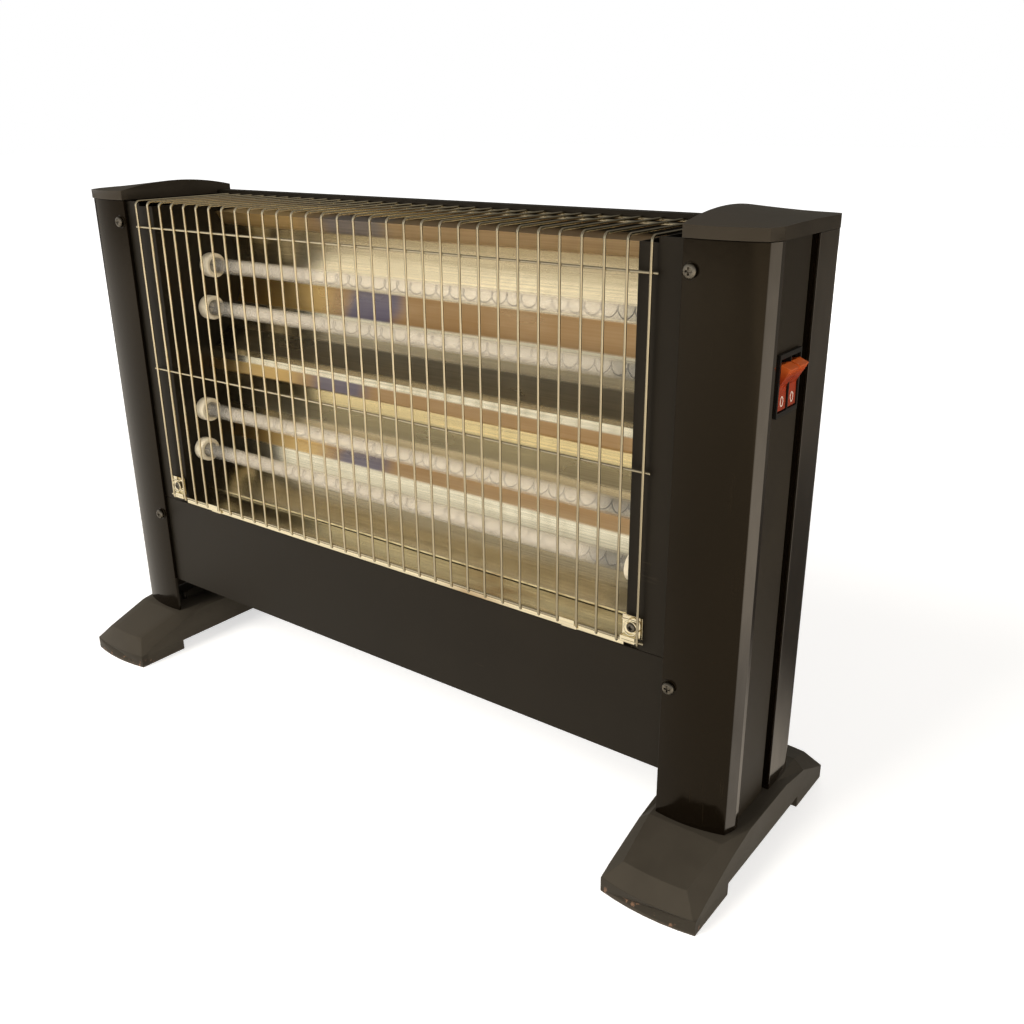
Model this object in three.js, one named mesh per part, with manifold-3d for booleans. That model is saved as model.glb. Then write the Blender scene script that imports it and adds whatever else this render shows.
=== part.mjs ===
// A free-standing quartz heater: two end towers on feet, four heating tubes before a polished
// reflector, and a wire guard. Millimetres, +Z up, front faces -Y, +X is the switch side.
// The origin is on the floor, midway between the feet.

import * as THREE from 'three';
import Module from 'manifold-3d';
import { mergeVertices, mergeGeometries } from 'three/addons/utils/BufferGeometryUtils.js';

const wasm = await Module();
wasm.setup();

// ---------------------------------------------------------------- driving dimensions

// Whole object
const overallLength = 529; // across the outer faces of the feet
const capEdgeHeight = 348; // floor to the upper rim of a tower cap
const seat = 0.3; // clearance between pieces that rest on or in each other

// Feet
const footWidth = 57.3;
const footDepth = 170; // over the ends' corners
const footEndBow = 3; // how far each end bows out at its middle
const footHeight = 29;
const footSkirtHeight = 9.3;
const footCrestHeight = 19.5;
const footCrestInset = 9; // end corner to the crest behind it
const footArchRise = 7.5;
const footPadLength = 38; // each of the two pads that meet the floor
const footSideBevel = 5.5; // along the straight middle
const footShoulderBevel = 6.5; // where the top starts to fall
const footCrestBevel = 9.5;
const footEndBevel = 1.5;
const footSideDrop = 1; // the sides' upper edges below the top
const footCrestSideRise = 3.5; // the sides' upper edges at the crest, above the skirt
const footScrewCeiling = 4; // above the arch, where the screws' heads sit

// Towers
const towerWidth = 43;
const towerSideInset = 6; // foot's outer face to the tower's
const towerDepth = 91;
const towerCentreY = 4;
const faceBow = 2.6; // how far the front face bows out
const cornerSetback = 3.5; // outer front corner behind the inner edge
const cornerInset = 2.5; // outer front corner inside the tower's side
const rearCornerInset = 4;
const cheekDepth = 11; // side strip of the front shell
const shellWall = 2.2;
const shellReturn = 6.5;
const panelRecess = 2.5;
const panelWidth = 36.4;
const grooveWidth = 4.3;
const shellWeb = 3;
const webClearance = 1; // a web's edge to the side panel's fold
const frontChamferRun = 7.5; // how far back the front corner's chamfer reaches
const rearChamferRun = 10;

// Caps
const capSkirt = 5.5;
const capCrown = 6;
const capOverhang = 1;
const capWall = 2.5;
const capOuterFlat = 0.8; // share of the crown that is lost towards the outer edge
const capSteps = 14; // facets of the crown from front to rear

// Sheet metal
const sheet = 1;
const caseBottomZ = 56;
const frontPanelTopZ = 125;
const sheetUnderShell = 10.5; // how far the flat sheets reach behind the shells
const caseFlange = 14;
const flangeShowing = 25.5; // an end frame's flange from its wall to the tower
const flangeSlantWidth = 10.5;
const flangeSlantDepth = 2;
const railDrop = 3; // cap edge to the rail's top
const railDepth = 9;
const railLip = 6;
const louvreRows = 2;
const louvreMargin = 5; // least distance to an end frame
const louvreLength = 30;
const louvreHeight = 5;
const louvrePitchX = 42;
const louvrePitchZ = 16;
const louvreDrop = 70; // the rail's top to the middle of the louvres

// Heating assembly: it leans back, and fills the height from the tray to the guard's top
const leanAngle = THREE.MathUtils.degToRad(10);
const tubeDiameter = 10.6;
const tubeWall = 1.2;
const tubePitch = 30; // the two tubes in one trough
const upperPairDrop = 3.3; // a trough's middle to the middle of its two tubes
const lowerPairDrop = 0.9;
const reflectorSheet = 0.8;
const deckDrop = 9.8; // the guard's top to the reflector's upper lip
const deckRise = 1.5; // the deck's rear edge above the upper lip
const deckRailGap = 1.5;
const reflectorLipRise = 2.1; // the tray's rear edge to the reflector's lower lip
const reflectorLipGap = 3.8; // behind the tray's rear edge
const reflectorLipDrop = 3.4;
const troughDepth = 25;
const troughBack = 29; // tube plane to the trough's floor
const troughDifference = 8.4; // the upper trough is wider by this
const troughSteps = 14;
const noseHalfHeight = 6.2;

// Ceramic end caps
const ceramicDiameter = 17;
const ceramicLength = 8.3;
const ceramicNeckDiameter = 12;
const ceramicNeckLength = 7;
const ceramicFloor = 1.7;
const leadHoleDiameter = 3.2;
const tubeSides = 12; // the tubes, the caps and the holes share it, so their flats line up

// Heating coils
const coilCurls = 18;
const coilClearance = 0.4; // the curls to the tube's bore
const coilWire = 1;
const coilSteps = 8;
const coilSides = 5;
const coilColdEnd = 12;

// Wire guard
const wireDiameter = 1.75; // of the round wire, whose area the flat-sided section keeps
const wirePitchAim = 12.9; // the pitch is the nearest that divides the guard's width
const guardPastFrame = 9.95; // an end frame's wall to the last wire
const guardTopDrop = 3; // the rail's top to the wires' centre lines
const guardFootRise = 4.3; // the front panel's upper edge to the wires' ends
const guardBendRadius = 3;
const weldSink = 0.5; // how far crossing wires melt into each other
const frontCrossDrops = [16.6, 115.2]; // below the guard's top
const topCrossSetbacks = [20, 2]; // in front of the rail
const bottomCrossRise = 1.5; // above the uprights' ends
const crossWireOverhang = 3.6;
const topCrossOverhang = 1.5;
const wireSides = 4;

// Tray under the guard
const trayRise = 4;
const trayDepth = 15;
const trayFrontFace = 2.7;
const trayInset = 0.1; // behind the flat front sheets
const trayRearFold = 2.2;
const trayFoot = 8;

// Rocker switch
const switchFromPanelEdge = 18.7; // the side panel's front edge to the switch's middle
const switchDrop = 67.9; // the shells' top to the switch's middle
const bezelWidth = 25.4;
const bezelHeight = 30.8;
const bezelThickness = 1.7;
const bezelMargin = 1.4; // how far it stands out past the housing's body
const switchOpeningHeight = 26;
const rockerWidth = 10.1;
const rockerGap = 0.5;
const rockerDividerWall = 0.8;
const rockerEndRise = 8; // the face's ends above the pivot
const rockerNotchRise = 5; // the face's middle above the pivot
const rockerFaceHalf = 10.9; // from the middle to the end of the face
const rockerSideHalf = 11.7;
const rockerUnder = 3;
const rockerRestTilt = THREE.MathUtils.degToRad(14);
const rockerPivotInset = 6.2; // the tower's side to the pivot
const switchBodyDepth = 20;
const axleDiameter = 2.4;

// Fasteners
const screwHeadDiameter = 7;
const screwHeadHeight = 2.2;
const screwShankDiameter = 3.8;
const screwLength = 8;
const screwInset = 5; // inner edge of the shell to the screw
const screwSpotRise = 1.3; // a front or rear screw's flat spot on the bowed face
const upperScrewDrop = 14.2; // below the shells' top
const lowerScrewDrop = 14; // below the front panel's upper edge
const rearScrewZ = 200;
const crossRecessArm = 1.9;
const crossRecessWidth = 1.1;
const clipScrewHeadDiameter = 5.6;
const footScrewHeadDiameter = 9;
const footScrewHeadHeight = 3;
const footScrewPlaces = [-28, 30]; // from the tower's middle

// Guard clips and tabs
const clipWidth = 12.4;
const clipHeight = 12.6;
const clipSheet = 0.8;
const tabGapsIn = 3.5; // wire pitches from the last wire to a tab
const hookDrop = 1.4; // how far a hook reaches past the middle of the wire it holds

// Electrics inside
const blockSize = [46, 18, 16];
const blockPockets = 3;
const blockPocketPitch = 14;
const blockPocketRadius = 2.6;
const blockPocketFloor = 6;
const blockSetback = 4; // behind the tower's middle
const inletInset = 40; // an end frame's wall to the mains inlet and the terminal block
const bushRise = 26; // above the case's bottom edge
const bushFlangeRadius = 9;
const bushNeckRadius = 6.5;
const bushBoreRadius = 3.8;
const bushNeckLength = 6;
const bushHead = 4;
const cutoutRadius = 9;
const cutoutHeight = 10;
const cutoutPinRadius = 3;
const cutoutPinLength = 4;
const cutoutInset = 80; // the left end frame's wall to the thermal cut-out
const cutoutDrop = 116; // below the rail's top
const wiringDiameter = 3;
const wiringBendRise = 42; // the case floor to the bend below the tubes
const wiringSetbacks = [3, 4]; // behind the tubes and above the upper one
const wiringFootSetback = 10; // behind the tower's middle

// ---------------------------------------------------------------- places that follow

const halfLength = overallLength / 2;
const towerOuterX = halfLength - towerSideInset;
const towerInnerX = towerOuterX - towerWidth;
const footInnerX = halfLength - footWidth;
const frontY = towerCentreY - towerDepth / 2; // shells' inner front edge
const rearY = towerCentreY + towerDepth / 2;
const shellBottomZ = footHeight + seat;
const capBottomZ = capEdgeHeight - capSkirt;
const shellTopZ = capBottomZ - seat;
const flangeY = frontY + shellWall + seat; // front faces of the flat front sheets
const backSheetY = rearY - shellWall - seat; // rear face of the rear panel
const sheetEndX = towerInnerX + sheetUnderShell;
const endFrameX = towerInnerX - flangeShowing; // the end frames' inner faces
const railTopZ = capEdgeHeight - railDrop;
const railFrontY = backSheetY - railDepth;
const wireSideAngle = (2 * Math.PI) / wireSides;
const wireSpread = Math.sqrt(wireSideAngle / Math.sin(wireSideAngle)); // round radius to corner radius
const wireRadius = (wireDiameter / 2) * wireSpread; // centre to corner
const crossWireStep = 2 * wireRadius - weldSink; // an upright's centre line to a cross wire's
const guardFrontY = flangeY - seat - wireRadius - crossWireStep; // the uprights' centre lines
const lastWireX = endFrameX + guardPastFrame;
const guardWires = Math.round((2 * lastWireX) / wirePitchAim) + 1;
const wirePitch = (2 * lastWireX) / (guardWires - 1);
const guardTopZ = railTopZ - guardTopDrop;
const guardBottomZ = frontPanelTopZ + guardFootRise;
const guardCrossY = guardFrontY + crossWireStep; // the cross wires behind the uprights
const bottomCrossZ = guardBottomZ + bottomCrossRise;
const clipX = lastWireX + crossWireOverhang / 2 - clipWidth / 2;
const clipBottomZ = bottomCrossZ + wireRadius + seat;
const clipZ = clipBottomZ + clipHeight / 2;
const panelX = towerOuterX - panelRecess; // side panel's outer face
const panelStartY = frontY + cornerSetback + cheekDepth + seat;
const panelEndY = panelStartY + panelWidth;
const rearCheekY = panelEndY + grooveWidth;
const webInnerX = panelX - shellReturn - sheet - webClearance; // the shells' webs end here
const panelStepX = towerOuterX - shellReturn - seat; // side panel's step behind the groove
const switchY = panelStartY + switchFromPanelEdge;
const switchZ = shellTopZ - switchDrop;
const basePlateZ = caseBottomZ + sheet + seat;
const caseFloorZ = basePlateZ + sheet;
const inletX = endFrameX - inletInset;
const bushZ = caseBottomZ + bushRise;
const screwZ = [shellTopZ - upperScrewDrop, frontPanelTopZ - lowerScrewDrop];
const footScrewY = footScrewPlaces.map((place) => towerCentreY + place);
const footScrewX = (towerInnerX + panelX - shellReturn) / 2;
const footScrewSeatZ = footArchRise + footScrewCeiling;
const trayBottomZ = frontPanelTopZ + seat;
const trayTopZ = trayBottomZ + trayFrontFace + trayRise;
const reflectorTopZ = guardTopZ - deckDrop;
const reflectorSpan = (reflectorTopZ - trayTopZ - reflectorLipRise) / Math.cos(leanAngle);
const upperTroughWidth = (reflectorSpan + troughDifference) / 2 - noseHalfHeight;
const lowerTroughWidth = upperTroughWidth - troughDifference;
const lipBack = troughBack - troughDepth; // the tubes' plane to a trough's lips
const tubeRadius = tubeDiameter / 2;
const ceramicFaceX = endFrameX - seat - ceramicLength;
const tubeEndX = endFrameX - seat - ceramicFloor - seat;

// ---------------------------------------------------------------- materials

const finish = (color, roughness, metalness) =>
  new THREE.MeshStandardMaterial({ color, roughness, metalness });

const gloss = finish(0x17120f, 0.12, 0);
const satin = finish(0x1c1917, 0.45, 0);
const footPlastic = finish(0x2b2725, 0.6, 0);
const capPlastic = finish(0x1d1a18, 0.4, 0);
const blackSteel = finish(0x1b1917, 0.5, 0.3);
const mirrorSheet = finish(0xd8d2c6, 0.12, 1);
const nickelWire = finish(0xb8ac94, 0.25, 1);
const milkyQuartz = finish(0xdcd4c8, 0.3, 0);
const coilAlloy = finish(0x8a7f78, 0.4, 1);
const ceramic = finish(0xebe1cd, 0.6, 0);
const switchBlack = finish(0x111111, 0.35, 0);
const rockerRed = finish(0xc23a1e, 0.25, 0);
const screwSteel = finish(0xa8a29a, 0.3, 1);
const wireInsulation = finish(0x101010, 0.6, 0);
const blockPlastic = finish(0xe8e4da, 0.5, 0);

// ---------------------------------------------------------------- solids

const model = new THREE.Group();

/** A geometry as a solid, with its shared corners merged. */
function solid(geometry) {
  const bare = new THREE.BufferGeometry();
  bare.setAttribute('position', geometry.getAttribute('position').clone());
  if (geometry.index) bare.setIndex(geometry.index.clone());
  const merged = mergeVertices(bare, 1e-4);
  return new wasm.Manifold(
    new wasm.Mesh({
      numProp: 3,
      vertProperties: new Float32Array(merged.getAttribute('position').array),
      triVerts: new Uint32Array(merged.index.array),
    }),
  );
}

/** A solid as a geometry. */
function geometryOf(body) {
  const { vertProperties, triVerts, numProp } = body.getMesh();
  const points = new Float32Array((vertProperties.length / numProp) * 3);
  for (let i = 0; i < points.length / 3; i += 1) {
    for (let axis = 0; axis < 3; axis += 1) points[3 * i + axis] = vertProperties[numProp * i + axis];
  }
  const geometry = new THREE.BufferGeometry();
  geometry.setAttribute('position', new THREE.BufferAttribute(points, 3));
  geometry.setIndex(new THREE.BufferAttribute(new Uint32Array(triVerts), 1));
  return geometry;
}

const join = (first, ...others) => others.reduce((sum, other) => sum.add(other), first);
const cut = (first, ...others) => others.reduce((rest, other) => rest.subtract(other), first);

/** The same geometry on the other side of the plane X = 0. */
function mirrored(geometry) {
  const copy = geometry.clone();
  copy.applyMatrix4(new THREE.Matrix4().makeScale(-1, 1, 1));
  const corners = copy.index.array;
  for (let i = 0; i < corners.length; i += 3) [corners[i], corners[i + 1]] = [corners[i + 1], corners[i]];
  return copy;
}

function add(name, geometry, material, parent = model) {
  const mesh = new THREE.Mesh(geometry, material);
  mesh.name = name;
  parent.add(mesh);
  return mesh;
}

/** One piece for each end: the right one as drawn and its mirror image on the left. */
function addPair(name, body, material) {
  const right = geometryOf(body);
  add(`${name}_right`, right, material);
  add(`${name}_left`, mirrored(right), material);
}

/** A box between two corners. */
function box(low, high) {
  const size = high.map((value, axis) => value - low[axis]);
  const geometry = new THREE.BoxGeometry(...size);
  geometry.translate(...low.map((value, axis) => value + size[axis] / 2));
  return solid(geometry);
}

/** An outline extruded along Z between two heights. */
function prismZ(outline, low, high) {
  const shape = new THREE.Shape(outline.map(([x, y]) => new THREE.Vector2(x, y)));
  const geometry = new THREE.ExtrudeGeometry(shape, { depth: high - low, bevelEnabled: false });
  geometry.translate(0, 0, low);
  return solid(geometry);
}

/** A (y, z) outline extruded along X. */
function prismX(outline, low, high) {
  const shape = new THREE.Shape(outline.map(([y, z]) => new THREE.Vector2(y, z)));
  const geometry = new THREE.ExtrudeGeometry(shape, { depth: high - low, bevelEnabled: false });
  const turn = new THREE.Matrix4().set(0, 0, 1, low, 1, 0, 0, 0, 0, 1, 0, 0, 0, 0, 0, 1);
  geometry.applyMatrix4(turn);
  return solid(geometry);
}

/** An (x, z) outline extruded along Y. */
function prismY(outline, low, high) {
  const shape = new THREE.Shape(outline.map(([x, z]) => new THREE.Vector2(x, z)));
  const geometry = new THREE.ExtrudeGeometry(shape, { depth: high - low, bevelEnabled: false });
  geometry.rotateX(Math.PI / 2);
  geometry.translate(0, high, 0);
  return solid(geometry);
}

/** A cylinder about an axis through a point. */
function rod(axis, radius, start, end, centre, sides = 12) {
  const geometry = new THREE.CylinderGeometry(radius, radius, end - start, sides);
  if (axis === 'x') geometry.rotateZ(-Math.PI / 2);
  if (axis === 'z') geometry.rotateX(Math.PI / 2);
  const middle = (start + end) / 2;
  const place = { x: [middle, ...centre], y: [centre[0], middle, centre[1]], z: [...centre, middle] };
  geometry.translate(...place[axis]);
  return solid(geometry);
}

/** A turned piece about the X axis, from (x, radius) points, closed on itself or on the axis. */
function turned(profile, sides) {
  const points = profile.map(([along, radius]) => new THREE.Vector2(radius, along));
  const geometry = new THREE.LatheGeometry(points, sides);
  geometry.rotateZ(-Math.PI / 2);
  return solid(geometry);
}

/** Points of an arc that bows out by a rise between two points, both ends included. */
function bow([x0, y0], [x1, y1], rise, steps) {
  const length = Math.hypot(x1 - x0, y1 - y0);
  const side = [(y1 - y0) / length, -(x1 - x0) / length];
  return Array.from({ length: steps + 1 }, (_, i) => {
    const t = i / steps;
    const lift = 4 * rise * t * (1 - t);
    return [x0 + (x1 - x0) * t + side[0] * lift, y0 + (y1 - y0) * t + side[1] * lift];
  });
}

/** A path moved sideways by a distance, with mitred corners: the left of travel is positive. */
function offsetPath(path, distance) {
  return path.map((point, i) => {
    const before = path[Math.max(i - 1, 0)];
    const after = path[Math.min(i + 1, path.length - 1)];
    const normals = [[before, point], [point, after]]
      .filter(([a, b]) => a !== b)
      .map(([a, b]) => {
        const length = Math.hypot(b[0] - a[0], b[1] - a[1]);
        return [-(b[1] - a[1]) / length, (b[0] - a[0]) / length];
      });
    const first = normals[0];
    const last = normals[normals.length - 1];
    const scale = distance / (1 + first[0] * last[0] + first[1] * last[1]);
    return [point[0] + (first[0] + last[0]) * scale, point[1] + (first[1] + last[1]) * scale];
  });
}

/** The outline of a wall: a path and the same path moved sideways. */
const wallOutline = (path, thickness) => [...path, ...offsetPath(path, thickness).reverse()];

/** A round bar along points in space. */
function bar(points, radius, sides, steps) {
  const path = new THREE.CurvePath();
  for (let i = 1; i < points.length; i += 1) path.add(new THREE.LineCurve3(points[i - 1], points[i]));
  const section = new THREE.Shape(
    Array.from({ length: sides }, (_, i) => {
      const angle = (2 * Math.PI * (i + 0.5)) / sides;
      return new THREE.Vector2(radius * Math.cos(angle), radius * Math.sin(angle));
    }),
  );
  return new THREE.ExtrudeGeometry(section, { steps, bevelEnabled: false, extrudePath: path });
}

/**
 * A closed skin over rings of points, each ring as long as the next, closed by flat ends. Seen from
 * the first ring towards the last, the rings run clockwise.
 */
function skin(rings) {
  const count = rings[0].length;
  const points = rings.flat();
  const corners = [];
  for (let ring = 0; ring + 1 < rings.length; ring += 1) {
    for (let i = 0; i < count; i += 1) {
      const a = ring * count + i;
      const b = ring * count + ((i + 1) % count);
      corners.push(a, b, b + count, a, b + count, a + count);
    }
  }
  const last = (rings.length - 1) * count;
  for (let i = 1; i + 1 < count; i += 1) {
    corners.push(0, i + 1, i);
    corners.push(last, last + i, last + i + 1);
  }
  const geometry = new THREE.BufferGeometry();
  geometry.setAttribute('position', new THREE.Float32BufferAttribute(points.flat(), 3));
  geometry.setIndex(corners);
  return geometry;
}

// ---------------------------------------------------------------- feet

/** One ring of a foot: the outline across X at a station, pushed out along Y by the end's bow. */
function footRing(y, bowOut, sideTop, top, bevel) {
  const columns = 6;
  const ring = [];
  const half = footWidth / 2;
  const centre = footInnerX + half;
  const bowedY = (x) => y + Math.sign(y) * bowOut * (1 - ((x - centre) / half) ** 2);
  const put = (x, z) => ring.push([x, bowedY(x), z]);
  for (let i = 0; i <= columns; i += 1) put(footInnerX + (footWidth * i) / columns, 0);
  put(halfLength, sideTop);
  for (let i = columns; i >= 0; i -= 1) {
    put(footInnerX + bevel + ((footWidth - 2 * bevel) * i) / columns, top);
  }
  put(footInnerX, sideTop);
  return ring;
}

function foot() {
  const end = footDepth / 2;
  const crest = end - footCrestInset;
  const flatFront = frontY - faceBow - capOverhang;
  const flatRear = rearY + faceBow + capOverhang;
  const shoulder = (footHeight + footCrestHeight) / 2;
  const shoulderSide = shoulder - footSideDrop;
  const crestSide = footSkirtHeight + footCrestSideRise;
  const skirtSide = footSkirtHeight - seat;
  const rings = [
    footRing(-end, footEndBow, skirtSide, footSkirtHeight, footEndBevel),
    footRing(-crest, footEndBow, crestSide, footCrestHeight, footCrestBevel),
    footRing(flatFront, 0, shoulderSide, footHeight, footShoulderBevel),
    footRing(flatFront / 2, 0, footHeight - footSideDrop, footHeight, footSideBevel),
    footRing(flatRear / 2, 0, footHeight - footSideDrop, footHeight, footSideBevel),
    footRing(flatRear, 0, shoulderSide, footHeight, footShoulderBevel),
    footRing(crest, footEndBow, crestSide, footCrestHeight, footCrestBevel),
    footRing(end, footEndBow, skirtSide, footSkirtHeight, footEndBevel),
  ];
  const body = solid(skin(rings.reverse()));
  const archEnd = end - footPadLength;
  const arch = box([footInnerX - 5, -archEnd, -1], [halfLength + 5, archEnd, footArchRise]);
  const holes = footScrewY.flatMap((y) => [
    rod('z', screwShankDiameter / 2 + seat, 0, footHeight + 1, [footScrewX, y]),
    rod('z', footScrewHeadDiameter / 2 + seat, 0, footScrewSeatZ, [footScrewX, y]),
  ]);
  return cut(body, arch, ...holes);
}

addPair('foot', foot(), footPlastic);

// ---------------------------------------------------------------- tower shells

/** Outer path of the front shell in plan, from its inner edge round to the end of its return. */
function frontShellPath() {
  const corner = [towerOuterX - cornerInset, frontY + cornerSetback];
  const cheekEnd = panelStartY - seat;
  return [
    ...bow([towerInnerX, frontY], corner, faceBow, 8),
    [towerOuterX - cornerInset / 3, frontY + cornerSetback + frontChamferRun / 2],
    [towerOuterX, frontY + cornerSetback + frontChamferRun],
    [towerOuterX, cheekEnd],
    [towerOuterX - shellReturn, cheekEnd],
  ];
}

/** Outer path of the rear shell, from its return round to its inner edge. */
function rearShellPath() {
  const corner = [towerOuterX - rearCornerInset, rearY - cornerSetback];
  return [
    [towerOuterX - shellReturn, rearCheekY],
    [towerOuterX, rearCheekY],
    [towerOuterX, rearY - cornerSetback - rearChamferRun],
    [towerOuterX - rearCornerInset / 4, rearY - cornerSetback - rearChamferRun / 2],
    ...bow(corner, [towerInnerX, rearY], faceBow, 8),
  ];
}

/** A Y-facing screw's hole, with a flat spot for its head. */
function screwHole(x, z, faceY, outward) {
  const tip = faceY - outward * (screwLength + 2);
  const head = faceY + outward * 30;
  const spot = faceY - outward * seat;
  const shank = rod('y', screwShankDiameter / 2 + seat, Math.min(tip, head), Math.max(tip, head), [x, z]);
  const flat = rod('y', screwHeadDiameter / 2 + seat, Math.min(spot, head), Math.max(spot, head), [x, z]);
  return { shank, flat };
}

const screwX = towerInnerX + screwInset;
const screwSeatY = frontY - screwSpotRise;
const rearScrewSeatY = rearY + screwSpotRise;
const frontScrewHoles = screwZ.map((z) => screwHole(screwX, z, screwSeatY, -1));
const rearScrewHole = screwHole(screwX, rearScrewZ, rearScrewSeatY, 1);
const footScrewHoles = footScrewY.map((y) =>
  rod('z', screwShankDiameter / 2 + seat, shellBottomZ - 1, shellBottomZ + shellWeb + 1, [footScrewX, y]),
);

function frontShell() {
  const path = frontShellPath();
  const wall = prismZ(wallOutline(path, shellWall), shellBottomZ, shellTopZ);
  const webEndY = towerCentreY - seat;
  const webEnd = [[webInnerX, webEndY], [towerInnerX + seat, webEndY]];
  const webPath = [...path, [webInnerX, panelStartY - seat], ...webEnd];
  const web = prismZ(webPath, shellBottomZ, shellBottomZ + shellWeb);
  const holes = frontScrewHoles.flatMap((hole) => [hole.shank, hole.flat]);
  return cut(join(wall, web), ...holes, ...footScrewHoles);
}

function rearShell() {
  const path = rearShellPath();
  const wall = prismZ(wallOutline(path, shellWall), shellBottomZ, shellTopZ);
  const webFront = [[towerInnerX + seat, towerCentreY], [webInnerX, towerCentreY]];
  const webPath = [...path, ...webFront, [webInnerX, rearCheekY]];
  const web = prismZ(webPath, shellBottomZ, shellBottomZ + shellWeb);
  const panelSlot = box(
    [panelStepX - sheet - seat, rearCheekY - 1, shellBottomZ - 1],
    [panelStepX + seat, rearCheekY + shellWall + seat, shellTopZ],
  );
  const holes = [rearScrewHole.shank, rearScrewHole.flat, ...footScrewHoles];
  return cut(join(wall, web), panelSlot, ...holes);
}

addPair('tower_front_shell', frontShell(), gloss);
addPair('tower_rear_shell', rearShell(), gloss);

// ---------------------------------------------------------------- side panels

/** The recessed side panel: its front edge folds in, and a step at its rear floors the groove. */
function sidePanel() {
  const path = [
    [panelX - shellReturn, panelStartY],
    [panelX, panelStartY],
    [panelX, panelEndY],
    [panelStepX, panelEndY],
    [panelStepX, rearCheekY + shellWall],
  ];
  return prismZ(wallOutline(path, sheet), shellBottomZ, shellTopZ);
}

const switchBodyHalfWidth = bezelWidth / 2 - bezelMargin;
const switchBodyHalfHeight = bezelHeight / 2 - bezelMargin;
const switchCutout = box(
  [panelX - sheet - 1, switchY - switchBodyHalfWidth - seat, switchZ - switchBodyHalfHeight - seat],
  [panelX + 1, switchY + switchBodyHalfWidth + seat, switchZ + switchBodyHalfHeight + seat],
);
add('side_panel_right', geometryOf(cut(sidePanel(), switchCutout)), satin);
add('side_panel_left', mirrored(geometryOf(sidePanel())), satin);

// ---------------------------------------------------------------- tower caps

/** The cap's outline in plan, a little outside the shells. */
function capOutline(grow) {
  const inner = towerInnerX - seat;
  const front = frontY - grow;
  const rear = rearY + grow;
  const outer = towerOuterX + grow;
  return [
    ...bow([inner, front], [outer - cornerInset - 1, front + cornerSetback], faceBow, 8),
    [outer, frontY + cornerSetback + frontChamferRun],
    [outer, rearY - cornerSetback - rearChamferRun],
    ...bow([outer - rearCornerInset, rear - cornerSetback], [inner, rear], faceBow, 8),
  ];
}

/** A block whose top is crowned from front to rear, less so towards the outer edge. */
function crownBlock() {
  const columns = 4;
  const low = capBottomZ - 5;
  const x0 = towerInnerX - 5;
  const x1 = towerOuterX + 8;
  const y0 = frontY - faceBow - capOverhang;
  const y1 = rearY + faceBow + capOverhang;
  const topAt = (x, y) => {
    const across = (2 * (y - y0)) / (y1 - y0) - 1;
    const out = Math.min(Math.max((x - towerInnerX) / (towerOuterX - towerInnerX), 0), 1);
    return capEdgeHeight + capCrown * (1 - across * across) * (1 - capOuterFlat * out);
  };
  const rings = Array.from({ length: capSteps + 1 }, (_, row) => {
    const y = y0 + ((y1 - y0) * row) / capSteps;
    const top = Array.from({ length: columns + 1 }, (__, i) => {
      const x = x1 - ((x1 - x0) * i) / columns;
      return [x, y, topAt(x, y)];
    });
    return [[x0, y, low], [x1, y, low], ...top];
  });
  return solid(skin(rings.reverse()));
}

function towerCap() {
  const outside = prismZ(capOutline(capOverhang), capBottomZ, capEdgeHeight + capCrown + 5);
  const hollow = prismZ(capOutline(capOverhang - capWall), capBottomZ - 1, capEdgeHeight - capWall);
  const insideWall = box(
    [towerInnerX - 5, frontY - 5, capBottomZ - 2],
    [towerInnerX + capWall, rearY + 5, capEdgeHeight],
  );
  return cut(outside.intersect(crownBlock()), cut(hollow, insideWall));
}

addPair('tower_cap', towerCap(), capPlastic);

// ---------------------------------------------------------------- case sheets

/** The lower front panel: its face with a flange folded back above and below. */
function frontPanel() {
  const path = [
    [flangeY + caseFlange, frontPanelTopZ],
    [flangeY, frontPanelTopZ],
    [flangeY, caseBottomZ],
    [flangeY + caseFlange, caseBottomZ],
  ];
  const body = prismX(wallOutline(path, sheet), -sheetEndX, sheetEndX);
  const holes = [-1, 1].map((side) =>
    rod('y', screwShankDiameter / 2 + seat, flangeY - 5, flangeY + 5, [side * screwX, screwZ[1]]),
  );
  return cut(body, ...holes);
}

add('front_panel', geometryOf(frontPanel()), blackSteel);

/** The rear panel, folded over the top as the rail behind the guard, with rows of louvres. */
function rearPanel() {
  const path = [
    [backSheetY - caseFlange, caseBottomZ],
    [backSheetY, caseBottomZ],
    [backSheetY, railTopZ],
    [railFrontY, railTopZ],
    [railFrontY, railTopZ - railLip],
  ];
  const body = prismX(wallOutline(path, sheet), -sheetEndX, sheetEndX);
  const corners = [-1, 1].map((side) => {
    const inner = side * (towerInnerX - seat - capOverhang);
    const outer = side * (sheetEndX + 5);
    const low = [Math.min(inner, outer), railFrontY - 5, railTopZ - railLip - 5];
    return box(low, [Math.max(inner, outer), backSheetY + 5, railTopZ + 5]);
  });
  const louvreRoom = 2 * (endFrameX - louvreMargin) - louvreLength;
  const louvreColumns = Math.floor(louvreRoom / louvrePitchX) + 1;
  const slots = [];
  for (let row = 0; row < louvreRows; row += 1) {
    for (let column = 0; column < louvreColumns; column += 1) {
      const x = (column - (louvreColumns - 1) / 2) * louvrePitchX;
      const z = railTopZ - louvreDrop + (row - (louvreRows - 1) / 2) * louvrePitchZ;
      const low = [x - louvreLength / 2, backSheetY - 3, z - louvreHeight / 2];
      slots.push(box(low, [x + louvreLength / 2, backSheetY + 3, z + louvreHeight / 2]));
    }
  }
  const inlet = rod('y', bushNeckRadius + seat, backSheetY - 5, backSheetY + 5, [inletX, bushZ]);
  const holes = [-1, 1].map((side) =>
    rod('y', screwShankDiameter / 2 + seat, backSheetY - 5, backSheetY + 5, [side * screwX, rearScrewZ]),
  );
  return cut(body, ...corners, ...slots, inlet, ...holes);
}

add('rear_panel', geometryOf(rearPanel()), blackSteel);

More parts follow.
